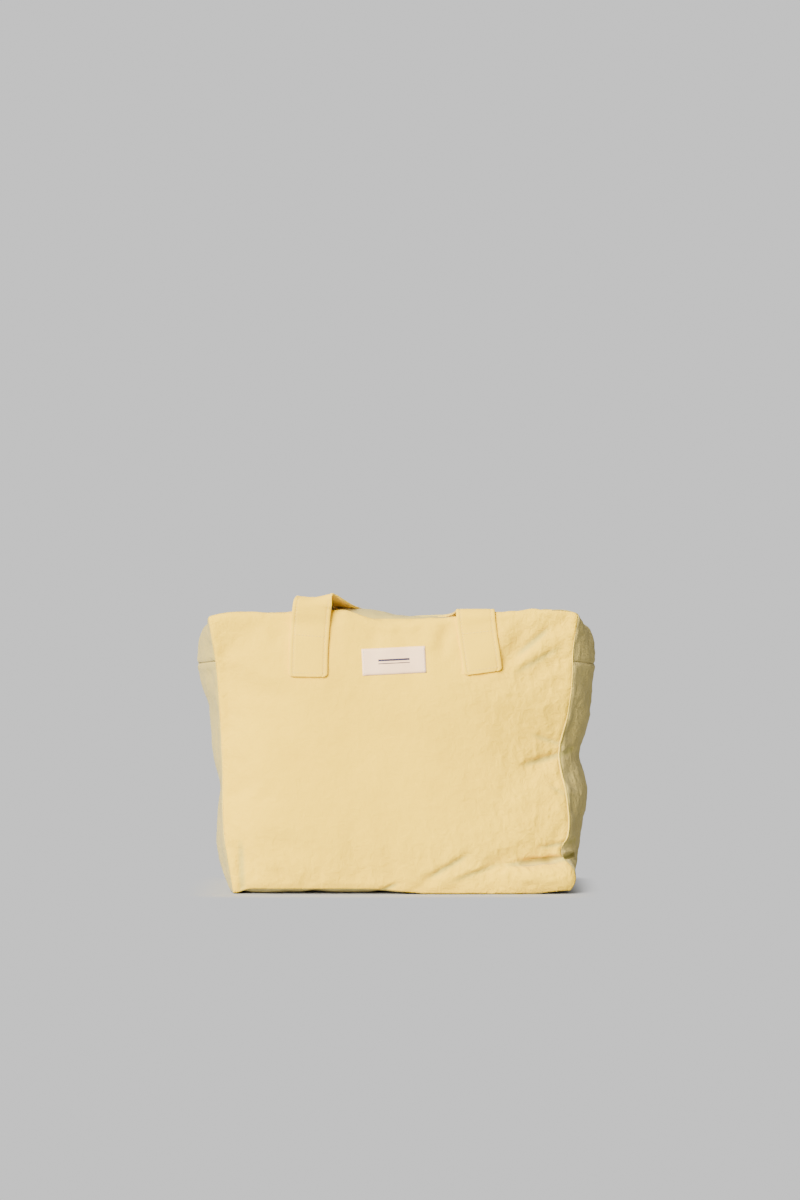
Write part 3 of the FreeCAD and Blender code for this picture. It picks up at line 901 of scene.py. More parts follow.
# Narrow folds of the front: from and to as (x, z) in metres, then half width and depth in mm.
SHARP_FOLDS = (
    ((0.112, 0.0315), (0.250, 0.0460), 3.0, 5.0),
    ((0.150, 0.0490), (0.215, 0.0600), 3.0, 1.6),
    ((-0.1640, -0.012), (-0.1670, 0.066), 4.2, 1.7),
    ((0.130, 0.137), (0.215, 0.1600), 3.6, 1.8),
    ((0.140, 0.176), (0.210, 0.152), 3.4, 1.3),
    ((0.164, 0.120), (0.200, 0.100), 3.0, 1.0),
    ((0.056, 0.012), (0.122, 0.036), 3.0, 1.4),
    ((0.030, 0.014), (0.086, 0.047), 3.2, 1.7),
    ((0.128, 0.255), (0.172, 0.292), 4.0, 1.6),
    ((0.124, 0.236), (0.188, 0.272), 4.0, 1.3),
    ((-0.018, 0.002), (0.006, 0.013), 2.6, 1.6),
)


def sharp_folds(place):
    """The front's narrow folds: a valley, with the cloth above it standing out over it."""
    return float(sum(
        crease(place.x, place.z, a, b, width * MM, depth * MM, ridge=0.5)
        for a, b, width, depth in SHARP_FOLDS
    ))


def seam_relief(place, distance):
    """The cloth beside a seam: drawn in at the stitches, a soft ridge next to them, and puckers."""
    pucker = math.exp(-distance / 0.012) * smooth(distance / 0.003) * noise.noise(place / 0.011)
    ridge = math.exp(-(((distance - 0.005) / 0.004) ** 2))
    groove = math.exp(-((distance / 0.0015) ** 2))
    return MM * (1.3 * pucker + 0.7 * ridge - 0.5 * groove)


def small_creases(place, busy):
    """Broken waves a few centimetres long, and sharper crumples where the cloth is most worn."""
    broken = noise.fractal(place / 0.032, 0.9, 2.1, 3)
    slanted = Vector((place.x + 0.35 * place.z, place.y, place.z * 0.55))
    ridged = 1 - abs(noise.noise(slanted / 0.017))
    finer = 1 - abs(noise.noise(slanted / 0.008 + Vector((7, 3, 1))))
    return MM * ((0.45 + 0.9 * busy) * broken + busy * (1.15 * (ridged**4 - 0.35) + 0.6 * (finer**3 - 0.4)))


def crumpled(place):
    """How creased the cloth is at a place: most towards the right, the floor, the back and the corners."""
    right = max(smooth((place.x - 0.02) / 0.16), 0.55 * smooth((place.y - 0.06) / 0.02))
    low = smooth((0.09 - place.z) / 0.08)
    edge = smooth((abs(place.x) - 0.15) / 0.04)
    return float(min(1.0, 0.12 + 0.75 * right + 0.45 * low + 0.35 * edge))


def take_parts(shell, parts, name, material):
    """Cuts parts out of the shell as one piece, with the cloth's thickness inside it."""
    mesh = bmesh.new()
    mesh.from_mesh(shell.data)
    chosen = [PARTS.index(part) for part in parts]
    other = [f for f in mesh.faces if f.material_index not in chosen]
    bmesh.ops.delete(mesh, geom=other, context="FACES")
    for face in mesh.faces:
        face.material_index = 0
        face.smooth = True
    piece = finished(name, mesh)
    piece.data.materials.append(material)
    thicken(piece, CLOTH_THICK)
    return piece


def make_bag():
    """The cloth pieces, cut from one settled shell. Returns it for the trims to follow."""
    shell = build_shell()
    settle_cloth(shell)
    refine(shell)
    cut = (
        ("front_panel", ("front", "hem_front"), "front_shell", FRONT_Y),
        ("back_panel", ("back", "hem_back"), "back_shell", BACK_Y),
        ("side_gusset_left", ("side_left",), "back_shell", BACK_Y),
        ("side_gusset_right", ("side_right",), "back_shell", BACK_Y),
        ("bottom_panel", ("base",), "back_shell", BACK_Y),
        ("top_end_panel_left", ("end_left",), "back_shell", BACK_Y),
        ("top_end_panel_right", ("end_right",), "back_shell", BACK_Y),
        ("top_panel_front", ("flap_front",), "front_flap", FRONT_Y),
        ("top_panel_back", ("flap_back",), "back_flap", BACK_Y),
    )
    for node, parts, body, anchor in cut:
        # Painted shade: every cloth piece but the front gets a duller shaded copy of the canvas.
        material = {"front_panel": CANVAS, "back_panel": PAINTED_SHADE_BACK_CANVAS}.get(node, PAINTED_SHADE_SIDE_CANVAS)
        declare(take_parts(shell, parts, node + "_cloth", material), body, anchor, "canvas", node)
    return shell


def declare(piece, body, anchor_y, slot, *nodes):
    """Says what a piece rides on and stands for."""
    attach(piece, body)
    if nodes:
        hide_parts(*nodes)
    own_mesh(piece)


# ---------------------------------------------------------------- trims on the cloth


class Surface:
    """The settled cloth, for laying trims on it."""

    REACH = 0.4 * STRAP_WIDTH

    def __init__(self, shell):
        mesh = shell.data
        verts = [v.co.copy() for v in mesh.vertices]
        self.tree = BVHTree.FromPolygons(verts, [list(p.vertices) for p in mesh.polygons])

    def front(self, x, z):
        hit = self.tree.ray_cast(Vector((x, FRONT_Y - 0.1, z)), Vector((0, 1, 0)))
        return hit[0].y if hit[0] else FRONT_Y

    def back(self, x, z):
        hit = self.tree.ray_cast(Vector((x, BACK_Y + 0.1, z)), Vector((0, -1, 0)))
        return hit[0].y if hit[0] else BACK_Y

    def sewn(self, side, x, z, gap, across, tilt=0.0):
        """A strap station flat on the front (side -1) or back (side 1): its place and width way."""
        look = self.front if side < 0 else self.back
        low, middle, high = (look(x + k * self.REACH, z) for k in (-1, 0, 1))
        level = (low + high) / 2
        y = min(level, middle) if side < 0 else max(level, middle)
        width = Vector((2 * self.REACH, high - low, 2 * self.REACH * tilt)) * across
        return (x, y + side * gap, z), tuple(width.normalized())


# Across a strap: half widths and half thicknesses, with a groove where the edge stitching pulls it in.
STRAP_PROFILE = (
    (0.5, 0.0), (0.494, 0.32), (0.475, 0.50), (0.44, 0.56), (0.412, 0.48), (0.395, 0.30), (0.378, 0.48),
    (0.34, 0.53), (0.2, 0.54), (0.0, 0.545),
)
STRAP_GROOVE = 0.395
STRAP_CORNER = 4.0 * MM
STRAP_STATIONS = 260
SEWN_GAP = STRAP_THICK / 2 + 0.1 * MM


def strap_section():
    """The closed outline of a strap, as (across, through) shares of its width and thickness."""
    right = list(STRAP_PROFILE)
    upper = right + [(-a, b) for a, b in right[-2::-1]]
    lower = [(-a, -b) for a, b in upper[1:-1]]
    return upper + lower


class Ribbon:
    """A strap along a smooth line. Each station has a place, a forward way, a width way and a face way."""

    def __init__(self, stations, count):
        places = np.array([s[0] for s in stations], float)
        widths = np.array([s[1] for s in stations], float)
        where = distances(places)
        self.length = where[-1]
        ends = STRAP_CORNER * (1 - np.cos(np.linspace(0, math.pi / 2, 7)[:-1]))
        middle = np.linspace(STRAP_CORNER, self.length - STRAP_CORNER, count)
        self.where = np.concatenate([ends, middle, self.length - ends[::-1]])
        self.place = self.through(where, places)
        width = self.through(where, widths)
        forward = np.gradient(self.place, axis=0)
        self.forward = forward / np.linalg.norm(forward, axis=1, keepdims=True)
        width = width - self.forward * np.sum(width * self.forward, axis=1, keepdims=True)
        self.width = width / np.linalg.norm(width, axis=1, keepdims=True)
        self.face = np.cross(self.forward, self.width)

    def through(self, where, values):
        return np.stack([curve(*zip(where, column))(self.where) for column in values.T], axis=1)

    def at(self, distance):
        """Place, forward, width and face ways at a distance along the strap."""
        ways = (self.place, self.forward, self.width, self.face)
        return [np.array(between(distance, self.where, way)) for way in ways]


def strap_mesh(name, ribbon, material):
    """The strap's solid, with rounded ends and the place on flat cloth for its weave."""
    section = strap_section()
    mesh = bmesh.new()
    uv = mesh.loops.layers.uv.new("UVMap")
    rings = []
    for i, where in enumerate(ribbon.where):
        cut_back = max(STRAP_CORNER - min(where, ribbon.length - where), 0)
        narrow = STRAP_WIDTH - 2 * (STRAP_CORNER - math.sqrt(STRAP_CORNER**2 - cut_back**2))
        width, face = ribbon.width[i], ribbon.face[i]
        rings.append([
            mesh.verts.new(ribbon.place[i] + width * across * narrow + face * through * STRAP_THICK)
            for across, through in section
        ])
    for face, i, k in lofted(mesh, rings):
        n = (k + 1) % len(section)
        for loop, (a, b) in zip(face.loops, ((i, k), (i, n), (i + 1, n), (i + 1, k))):
            loop[uv].uv = (section[b][0] * STRAP_WIDTH, ribbon.where[a])
    return mesh_piece(name, mesh, material)


# Along a stitch: share of its length, share of its thickness, and how far its middle rises.
STITCH_SHAPE = (
    (-0.5, 0.35, -0.5), (-0.32, 0.9, 0.55), (0.0, 1.0, 0.9), (0.32, 0.9, 0.55), (0.5, 0.35, -0.5),
)
STITCH_LENGTH, STITCH_WIDTH, STITCH_HEIGHT = 2.5 * MM, 0.75 * MM, 0.42 * MM
STITCH_PITCH = 3.4 * MM
BAR_SIDES = 6


def bar_ring(mesh, middle, side, up):
    """Vertices round one section of a small bar, whose half width and half height are given as vectors."""
    turns = [angle * 2 * math.pi / BAR_SIDES for angle in range(BAR_SIDES)]
    return [mesh.verts.new(middle + side * math.cos(turn) + up * math.sin(turn)) for turn in turns]


def stitch(mesh, place, forward, side, up):
    """One stitch: a short rounded bar that dips into the cloth at both ends."""
    rings = []
    for along, size, rise in STITCH_SHAPE:
        middle = place + forward * (along * STITCH_LENGTH) + up * (rise * STITCH_HEIGHT * 0.5)
        half_width, half_height = STITCH_WIDTH * 0.5 * size, STITCH_HEIGHT * 0.5 * size
        rings.append(bar_ring(mesh, middle, side * half_width, up * half_height))
    lofted(mesh, rings)


def stitch_line(mesh, points, up):
    """A row of stitches along points, each with a way up."""
    points, up = np.array(points), np.array(up)
    where = distances(points)
    count = max(1, int(where[-1] / STITCH_PITCH))
    for n in range(count):
        distance = (n + 0.5) * where[-1] / count
        place = Vector(between(distance, where, points))
        ahead = Vector(between(min(distance + 0.5 * MM, where[-1]), where, points))
        behind = Vector(between(max(distance - 0.5 * MM, 0), where, points))
        way = Vector(between(distance, where, up)).normalized()
        forward = (ahead - behind).normalized()
        stitch(mesh, place, forward, way.cross(forward).normalized(), way)


STITCH_INSET = 3 * MM
BOX_LOW, BOX_HIGH = 4 * MM, 44 * MM
BOX_POINTS = 12


def handle_stitching(ribbon, outward):
    """Two rows along both edges of both faces, and two across each sewn end that close its box."""
    mesh = bmesh.new()
    half = STRAP_GROOVE * STRAP_WIDTH
    lift = 0.34 * STRAP_THICK
    stations = [ribbon.at(s) for s in np.linspace(STITCH_INSET, ribbon.length - STITCH_INSET, 240)]
    for edge in (-half, half):
        for face in (-1, 1):
            line = [p + w * edge + f * face * lift for p, _, w, f in stations]
            stitch_line(mesh, line, [f * face for _, _, _, f in stations])
    for s in (BOX_LOW, BOX_HIGH, ribbon.length - BOX_HIGH, ribbon.length - BOX_LOW):
        place, _, width, face = ribbon.at(s)
        up = face * outward
        line = [place + width * a + up * 0.52 * STRAP_THICK for a in np.linspace(-half, half, BOX_POINTS)]
        stitch_line(mesh, line, [up] * BOX_POINTS)
    return mesh


def handle(side, ribbon, end, outward, material):
    """A handle with both sewn ends: one strap, its edge stitching, and a box of stitching on each end."""
    name = side + "_handle"
    strap = strap_mesh(name + "_strap", ribbon, material)
    thread = mesh_piece(name + "_thread", handle_stitching(ribbon, outward), THREAD)
    parts = [f"{name}_{part}_{end}" for part in ("bend", "end") for end in ("left", "right")]
    made = ((strap, [name] + parts, "webbing"), (thread, [name + "_stitching"], "thread"))
    for piece, replaced, slot in made:
        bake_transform(piece)
        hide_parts(*replaced)


def make_front_handle(surface):
    """Sewn up the front, over the top edge and lying back across the top, the left leg in a high arch."""
    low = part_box("front_handle_end_left")[0].z
    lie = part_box("front_handle")[0].z + STRAP_THICK / 2 + 0.2 * MM
    stations = []
    for z, x in ((low, -0.0923), (low + 0.02, -0.0920), (low + 0.04, -0.0912), (0.292, -0.0900)):
        stations.append(surface.sewn(-1, x, z, SEWN_GAP, 1))
    base = surface.front(-0.09, 0.29)
    stations += [
        ((-0.0888, base - 2.6 * MM, 0.306), (1, 0.04, 0.03)),
        ((-0.0876, base - 1.8 * MM, 0.3145), (1, 0.04, 0.10)),
        ((-0.0850, base + 2.8 * MM, 0.3200), (1, -0.02, 0.15)),
        ((-0.0795, base + 10.5 * MM, 0.3196), (1, -0.26, 0.14)),
        ((-0.0715, base + 19.5 * MM, 0.3168), (1, -0.48, 0.06)),
        ((-0.0630, base + 31.0 * MM, 0.3132), (1, -0.52, -0.04)),
        ((-0.0555, base + 45.0 * MM, 0.3105), (1, -0.48, -0.08)),
        ((-0.0480, -0.018, 0.3060), (1, -0.55, -0.04)),
        ((-0.0340, 0.012, 0.3005), (0.9, -0.85, 0)),
        ((-0.0080, 0.029, 0.2972), (0.35, -1, 0)),
        ((0.0270, 0.031, 0.2970), (-0.15, -1, 0)),
        ((0.0600, 0.020, 0.2988), (-0.75, -0.9, 0)),
        ((0.0810, -0.006, 0.3024), (-1, -0.45, 0)),
        ((0.0885, -0.040, 0.3064), (-1, -0.1, 0)),
        ((0.0885, -0.066, lie + 1.9 * MM), (-1, 0, 0)),
    ]
    edge = surface.front(0.088, 0.29)
    stations += [
        ((0.0880, edge + 8.0 * MM, lie + 2.2 * MM), (-1, 0, 0)),
        ((0.0880, edge + 1.5 * MM, lie + 2.0 * MM), (-1, 0, 0)),
        ((0.0882, edge - 1.9 * MM, lie - 3.0 * MM), (-1, 0, 0)),
    ]
    for z, x in ((0.292, 0.0892), (low + 0.044, 0.0905), (low + 0.024, 0.0935), (low + 0.004, 0.0962)):
        stations.append(surface.sewn(-1, x, z, SEWN_GAP, -1, tilt=0.13))
    start, end = (0, FRONT_Y - 3 * MM, 0.3042), (0, FRONT_Y + 9.5 * MM, 0.3141)
    handle("front", Ribbon(stations, STRAP_STATIONS), end, -1, STRAP)


def make_back_handle(surface):
    """The other handle, hanging down behind the bag in a U."""
    pivot = JOINTS["back_handle_swing"]["pos_m"]
    low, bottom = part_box("back_handle_end_left")[0].z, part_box("back_handle")[0].z
    bend = 28 * MM
    hang = pivot[1] + 3.4 * MM
    half = []

    def clear(place):
        """The place, moved off the cloth if the cloth stands out there on either side of the bag."""
        around = (-0.018, 0, 0.018)
        out = max(surface.back(place.x + k, place.z + h) for k in around for h in around)
        out = max(out, *(surface.back(k - place.x, place.z) for k in around))
        return (place.x, max(place.y, out + STRAP_THICK / 2 + 0.6 * MM), place.z)

    for z in (low, low + 0.02, low + 0.04, 0.283):
        half.append(surface.sewn(1, -BACK_LEG, z, SEWN_GAP, -1))
    for y, z in ((-2.9, -7.0), (-2.0, -2.2), (0.2, 0.7), (2.6, -1.2), (3.7, -6.0), (3.4, -0.034 / MM)):
        half.append(((-BACK_LEG, pivot[1] + y * MM, pivot[2] + z * MM), (-1, 0, 0)))
    half[-1] = (clear(Vector(half[-1][0])), (-1, 0, 0))
    for degrees in range(0, 91, 15):
        out = Vector((-math.cos(math.radians(degrees)), 0, -math.sin(math.radians(degrees))))
        centre = Vector((bend - BACK_LEG, hang, bottom + STRAP_WIDTH / 2 + bend))
        half.append((clear(centre + out * bend), tuple(out)))
    half.append((clear(Vector((-BACK_LEG / 3, hang, bottom + STRAP_WIDTH / 2))), (0, 0, -1)))
    mirrored = [((-p[0], p[1], p[2]), (-w[0], w[1], w[2])) for p, w in half[::-1]]
    start, end = (0, BACK_Y + 4.8 * MM, 0), (0, BACK_Y + 7.2 * MM, 0)
    # Painted shade: the back handle uses the duller shaded copy of the strap canvas.
    handle("back", Ribbon(half + mirrored, STRAP_STATIONS), end, 1, PAINTED_SHADE_BACK_STRAP)


def make_label(surface):
    """A blank tape label, sewn on a little askew, with its short sides turned under and stitched."""
    low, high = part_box("label")
    centre = (low + high) / 2
    half_x, half_z = (high.x - low.x) / 2, (high.z - low.z) / 2
    tilt = math.radians(2.8)
    def place(a, b, rise):
        x = centre.x + a * math.cos(tilt) - b * math.sin(tilt)
        z = centre.z + a * math.sin(tilt) + b * math.cos(tilt)
        return Vector((x, surface.front(x, z) - rise, z))

    def rise(a, b):
        edge = min(half_x - abs(a), half_z - abs(b))
        return mix(0.35 * MM, 1.0 * MM, smooth(edge / (1.6 * MM)))

    columns, rows = np.linspace(-half_x, half_x, 29), np.linspace(-half_z, half_z, 13)
    flat = np.array([[(a, b) for a in columns] for b in rows])
    grid = np.array([[place(a, b, rise(a, b)) for a, b in row] for row in flat])
    mesh = bmesh.new()
    quad_sheet(mesh, mesh.loops.layers.uv.new("UVMap"), grid, flat)
    piece = mesh_piece("label_tape", mesh, LABEL)
    thicken(piece, LABEL_THICK)
    threads = bmesh.new()
    for a in (-half_x + 2 * MM, half_x - 2 * MM):
        line = [place(a, b, 1.05 * MM) for b in np.linspace(-half_z + 1.5 * MM, half_z - 1.5 * MM, 8)]
        stitch_line(threads, line, [(0, -1, 0)] * 8)
    thread = mesh_piece("label_thread", threads, LABEL_THREAD)
    declare(piece, "front_shell", FRONT_Y, "label", "label")
    declare(thread, "front_shell", FRONT_Y, "thread", "label_stitching")


def seam_line(shell, part, x_sign, low, high):
    """The settled corner seam's points between two heights, from the floor up."""
    chosen = PARTS.index(part)
    side = PARTS.index("side_left" if x_sign < 0 else "side_right")
    end = PARTS.index("end_left" if x_sign < 0 else "end_right")
    touching = {}
    for polygon in shell.data.polygons:
        for index in polygon.vertices:
            touching.setdefault(index, set()).add(polygon.material_index)
    points = [
        shell.data.vertices[i].co.copy()
        for i, parts in touching.items()
        if chosen in parts and (side in parts or end in parts)
    ]
    points = [p for p in points if low < p.z < high and p.x * x_sign > TOP_HALF * 0.8]
    return sorted(points, key=lambda p: p.z)


RIDGE_LOW, RIDGE_HIGH = 0.048, 0.286
RIDGE_RADIUS = 1.05 * MM
THIN_RIDGE = 0.55


def ridge_mesh(name, line, out, size):
    """A cord along a seam's points, thinner in its upper half and at both ends."""
    data = bpy.data.curves.new(name, "CURVE")
    data.dimensions = "3D"
    data.bevel_depth = RIDGE_RADIUS
    data.bevel_resolution = 3
    data.use_fill_caps = True
    spline = data.splines.new("POLY")
    spline.points.add(len(line) - 1)
    for n, point in enumerate(line):
        share = n / (len(line) - 1)
        ends = smooth(share / 0.06) * smooth((1 - share) / 0.06)
        wave = 0.35 * MM * noise.noise(point / 0.013)
        place = point + out * (0.1 * MM + wave)
        spline.points[n].co = (*place, 1)
        upper = 1 - 0.45 * float(smooth((point.z - 0.15) / 0.08))
        spline.points[n].radius = size * upper * (0.3 + 0.7 * float(ends))
    cord = new_object(name, data)
    mesh = bpy.data.meshes.new_from_object(cord)
    bpy.data.objects.remove(cord)
    for polygon in mesh.polygons:
        polygon.use_smooth = True
    mesh.materials.clear()
    mesh.materials.append(PIPING)
    return mesh


def make_ridges(shell):
    """The stitched ridge that stands along each upright corner seam."""
    for part, y_sign, anchor in (("front", -1, FRONT_Y), ("back", 1, BACK_Y)):
        for side, x_sign in (("left", -1), ("right", 1)):
            line = seam_line(shell, part, x_sign, RIDGE_LOW, RIDGE_HIGH)
            out = Vector((0.75 * x_sign, 0.66 * y_sign, 0)).normalized()
            size = THIN_RIDGE if (part, side) == ("front", "left") else 1.0
            node = f"{part}_seam_ridge_{side}"
            piece = new_object(node + "_piping", ridge_mesh(node, line, out, size))
            declare(piece, f"{part}_shell", anchor, "canvas", node)


# ---------------------------------------------------------------- the zip


def zip_path_end(surface, sign):
    """The closed zip's line at one end: in along the top, then over the corner, just inside the cloth."""
    centre = Vector((sign * (LID_HALF - 8 * MM), 0, SIDE_SEAM_Z - 8 * MM))
    points = [(sign * (LID_HALF - 1 * MM), ZIP_TAPE_Z)]
    for degrees in np.arange(80, -20, -4.0):
        turn = math.radians(degrees)
        way = Vector((sign * math.cos(turn), 0, math.sin(turn)))
        reach = []
        for y in (-ZIP_HALF - 1.5 * MM, ZIP_HALF + 1.5 * MM):
            hit = surface.tree.ray_cast(centre + way * 0.15 + Vector((0, y, 0)), -way)
            if hit[0]:
                reach.append(0.15 - hit[3])
        if not reach:
            continue
        place = centre + way * (min(reach) - CLOTH_THICK - 0.5 * MM)
        if abs(place.x) < LID_HALF + 4 * MM:
            place.z = min(place.z, ZIP_TAPE_Z + 0.3 * MM)
        points.append((place.x, place.z))
        if place.z < ZIP_END_LOW - 14 * MM:
            break
    return points


def upward(way, x):
    """Square to the zip's line: up, or outwards from the middle where the line is steep."""
    up = Vector((-way.z, 0, way.x))
    return up if up.z > 0 or (abs(up.z) < 0.5 and up.x * x > 0) else -up


def sweep_strip(mesh, line, y_low, y_high):
    """A flat strip of tape between two depths, along a line of (x, z) points."""
    uv = mesh.loops.layers.uv.new("UVMap")
    rings = []
    for n, (x, z) in enumerate(line):
        before, after = line[max(n - 1, 0)], line[min(n + 1, len(line) - 1)]
        way = Vector((after[0] - before[0], 0, after[1] - before[1])).normalized()
        up = upward(way, x)
        base = Vector((x, 0, z))
        corners = ((y_low, -0.5), (y_high, -0.5), (y_high, 0.5), (y_low, 0.5))
        rings.append([
            mesh.verts.new(base + Vector((0, y, 0)) + up * rise * TAPE_THICK) for y, rise in corners
        ])
    where = distances(line)
    for face, i, _ in lofted(mesh, rings, smooth_faces=False):
        for loop in face.loops:
            loop[uv].uv = (where[i if loop.vert in rings[i] else i + 1], loop.vert.co.y)


TOOTH_PITCH = 2.2 * MM
TEETH_OUTER = 3.4 * MM
TOOTH_HALF = (0.52 * MM, 0.6 * MM)
# Along a tooth: share of its reach towards the middle, and share of its thickness.
TOOTH_SHAPE = ((0.0, 0.75), (0.55, 0.9), (0.85, 1.25), (1.0, 0.9))


def coil_tooth(mesh, place, forward, up, side):
    """One turn of the coil: a rounded bar across the tape's edge with a fatter head at the middle."""
    reach = TEETH_OUTER - 0.1 * MM
    lofted(mesh, [
        bar_ring(mesh, place + side * (t * reach), forward * TOOTH_HALF[0] * size, up * TOOTH_HALF[1] * size)
        for t, size in TOOTH_SHAPE
    ])


def add_teeth(mesh, line, y_sign, offset):
    """A row of teeth along a line of (x, z) points, on one side of the middle."""
    line = np.array(line)
    where = distances(line)
    for n in range(int(where[-1] / TOOTH_PITCH)):
        distance = (n + 0.5 + offset) * TOOTH_PITCH
        if distance > where[-1]:
            continue
        x, z = between(distance, where, line)
        next_x, next_z = between(min(distance + MM, where[-1]), where, line)
        forward = Vector((next_x - x, 0, next_z - z))
        if forward.length < 1e-7:
            continue
        forward.normalize()
        up = upward(forward, x)
        place = Vector((x, y_sign * TEETH_OUTER, z)) + up * 0.5 * MM
        coil_tooth(mesh, place, forward, up, Vector((0, -y_sign, 0)))


def zip_tape(name, line, low, high):
    """A length of woven tape between two depths."""
    mesh = bmesh.new()
    sweep_strip(mesh, line, low, high)
    return mesh_piece(name + "_woven", mesh, TAPE)


def zip_teeth(name, line, y_signs):
    """A row of coil teeth on one or both sides of the middle, each row half a pitch from the other."""
    mesh = bmesh.new()
    for y_sign in y_signs:
        add_teeth(mesh, line, y_sign, 0.0 if y_sign < 0 else 0.5)
    return mesh_piece(name + "_coil", mesh, TEETH)


def make_zip(surface):
    """The zip's two opening halves on the flaps, and its closed stretch over each end of the top."""
    line = [(x, ZIP_TAPE_Z) for x in np.linspace(-LID_HALF, LID_HALF, 40)]
    for side, sign, anchor in (("front", -1, FRONT_Y), ("back", 1, BACK_Y)):
        low, high = sorted((sign * (ZIP_HALF + 4 * MM), sign * 1.6 * MM))
        tape = zip_tape(f"zip_tape_{side}", line, low, high)
        teeth = zip_teeth(f"zip_teeth_{side}", line, (sign,))
        declare(tape, f"{side}_flap", anchor, "zip_tape", f"zip_tape_{side}")
        declare(teeth, f"{side}_flap", anchor, "zip_teeth", f"zip_teeth_{side}")
    for side, sign in (("left", -1), ("right", 1)):
        name = f"zip_end_{side}"
        path = zip_path_end(surface, sign)
        tape = zip_tape(name, path, -ZIP_HALF - 3 * MM, ZIP_HALF + 3 * MM)
        steps = np.arange(len(path))
        dense = [tuple(between(t, steps, path)) for t in np.linspace(0, len(path) - 1, 60)]
        teeth = zip_teeth(name, dense, (-1, 1))
        declare(tape, "zip_line", 0.0, "zip_tape", name)
        declare(teeth, "zip_line", 0.0, "zip_teeth")


def finish_metal():
    """The slider, its pull and the two stops keep their CAD shape, with softened edges and brass."""
    for node in ("zip_slider", "zip_pull", "zip_stop_left", "zip_stop_right"):
        obj = frame["nodes"][node]
        obj.data.materials.clear()
        obj.data.materials.append(METAL)
        bevel = obj.modifiers.new("Softened", "BEVEL")
        bevel.width = 0.35 * MM
        bevel.segments = 3
        bevel.limit_method = "ANGLE"


# ---------------------------------------------------------------- room, light and camera


BACKGROUND = 0.90
# Half sizes of the bag's foot, and how far beyond it its contact shadow reaches on the paper.
FOOTPRINT = (0.187, 0.080, 0.0)
SHADOW_REACH = 45 * MM
SUN_WAY = Vector((0.60, 1.0, -0.62))
SUN_STRENGTH = 4.05 * math.pi
SUN_SPREAD = math.radians(38)
CAMERA_DISTANCE = 3.0
CAMERA_HEIGHT = 0.3186
CAMERA_SIDE = 0.0065


def floor_material():
    """Pale matt paper beside the bag. Beyond its contact shadow it glows evenly, as a lit sweep does."""
    nodes = Nodes("floor_grey")
    place = nodes.place()
    beside = nodes.vector("SUBTRACT", nodes.vector("ABSOLUTE", place), FOOTPRINT)
    outside = nodes.vector("LENGTH", nodes.vector("MAXIMUM", beside))
    far = nodes.add("ShaderNodeMapRange", Value=outside, From_Min=0.0, From_Max=SHADOW_REACH)
    far.interpolation_type = "SMOOTHSTEP"
    grain = nodes.noise(place, 40.0, 2.0)
    paper = nodes.add("ShaderNodeBsdfDiffuse")
    nodes.put(paper, "Color", nodes.blend(grain, (0.410, 0.421, 0.452, 1), (0.416, 0.428, 0.458, 1)))
    glow = nodes.add("ShaderNodeEmission", Color=(BACKGROUND, BACKGROUND, BACKGROUND, 1), Strength=1.0)
    both = nodes.add("ShaderNodeMixShader")
    nodes.put(both, "0", far.outputs["Result"])
    nodes.put(both, "1", paper.outputs[0])
    nodes.put(both, "2", glow.outputs[0])
    nodes.put(nodes.tree.nodes["Material Output"], "Surface", both.outputs[0])
    return nodes.material


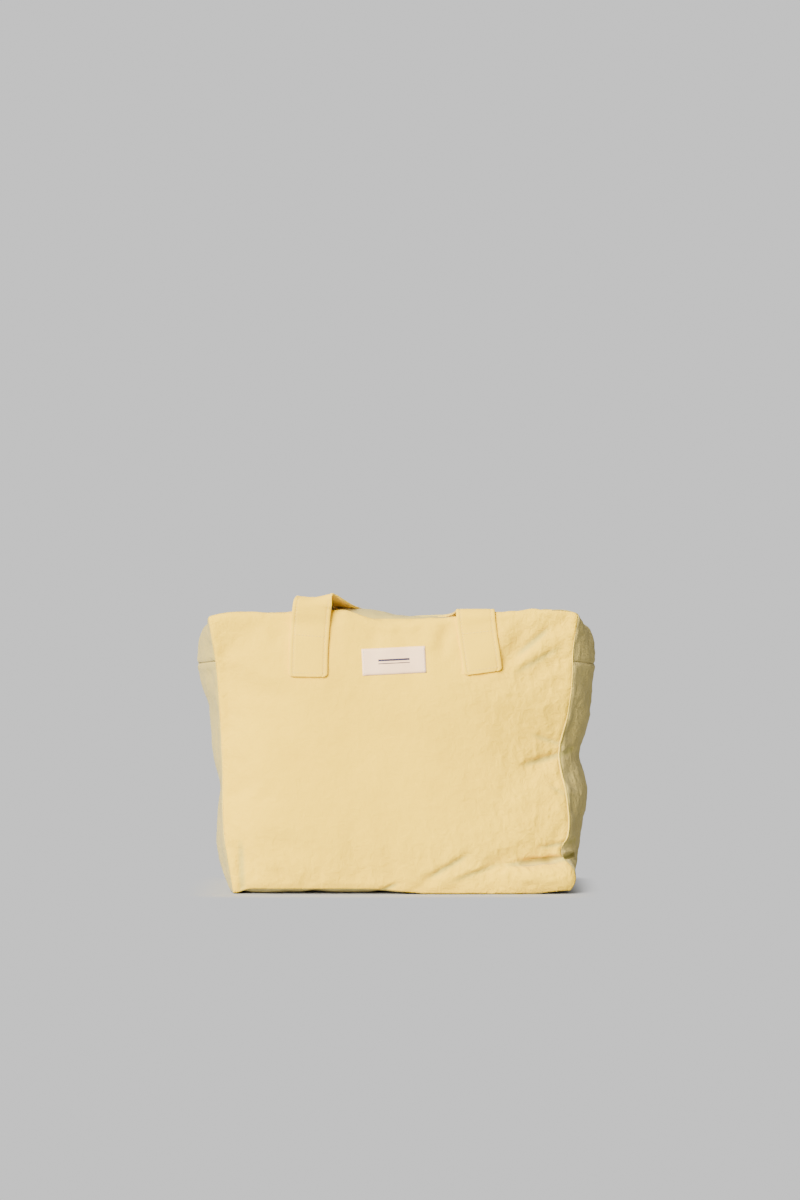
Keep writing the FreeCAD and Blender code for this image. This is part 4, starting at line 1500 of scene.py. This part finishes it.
def sweep():
    """A wide round floor, and a wall that curves up from it behind the bag and on its left."""
    material = floor_material()
    mesh = bmesh.new()
    bmesh.ops.create_circle(mesh, cap_ends=True, segments=96, radius=60)
    mesh_piece("floor", mesh, material)

    mesh = bmesh.new()
    turns = [math.radians(a) for a in range(45, 216, 5)]
    rises = [math.radians(a) for a in range(0, 91, 15)]
    radius, bend, height = 7.0, 1.5, 5.5
    profile = [(radius + bend * math.sin(a), bend * (1 - math.cos(a))) for a in rises]
    profile.append((radius + bend, height))
    rows = [
        [mesh.verts.new((r * math.cos(t), r * math.sin(t), z + 0.5 * MM)) for t in turns] for r, z in profile
    ]
    for a, b in zip(rows, rows[1:]):
        for k in range(len(turns) - 1):
            mesh.faces.new((a[k], b[k], b[k + 1], a[k + 1])).smooth = True
    mesh_piece("backdrop", mesh, material)


def surroundings():
    """Dim even light from all round, with a pale band low down where no backdrop stands."""
    world = bpy.data.worlds.new("studio")
    world.use_nodes = True
    tree = world.node_tree
    light = tree.nodes["Background"]
    light.inputs["Color"].default_value = (0.97, 0.985, 1.0, 1)
    way = tree.nodes.new("ShaderNodeTexCoord")
    split = tree.nodes.new("ShaderNodeSeparateXYZ")
    band = tree.nodes.new("ShaderNodeMapRange")
    band.interpolation_type = "SMOOTHSTEP"
    for socket, value in (("From Min", 0.10), ("From Max", 0.30), ("To Min", BACKGROUND), ("To Max", 0.20)):
        band.inputs[socket].default_value = value
    tree.links.new(way.outputs["Generated"], split.inputs[0])
    tree.links.new(split.outputs["Z"], band.inputs["Value"])
    tree.links.new(band.outputs["Result"], light.inputs["Strength"])
    bpy.context.scene.world = world


def key_light():
    """A broad warm light from the upper left, in front of the bag."""
    data = bpy.data.lights.new("key", "SUN")
    data.angle = SUN_SPREAD
    data.energy = SUN_STRENGTH
    data.color = (1.0, 0.95, 0.84)
    key = bpy.data.objects.new("key", data)
    bpy.context.scene.collection.objects.link(key)
    key.rotation_euler = SUN_WAY.to_track_quat("-Z", "Y").to_euler()


def camera():
    """Level, a little above the bag's top edge, in front of it."""
    data = bpy.data.cameras.new("camera")
    data.lens = 83.3
    data.sensor_width = 36
    cam = bpy.data.objects.new("camera", data)
    cam.location = (CAMERA_SIDE, FRONT_Y - CAMERA_DISTANCE, CAMERA_HEIGHT)
    cam.rotation_euler = (math.radians(90), 0, 0)
    bpy.context.scene.collection.objects.link(cam)
    bpy.context.scene.camera = cam


sweep()
surroundings()
key_light()
camera()
shell = make_bag()
surface = Surface(shell)
make_front_handle(surface)
make_back_handle(surface)
make_label(surface)
make_ridges(shell)
make_zip(surface)
finish_metal()
bpy.data.objects.remove(shell)
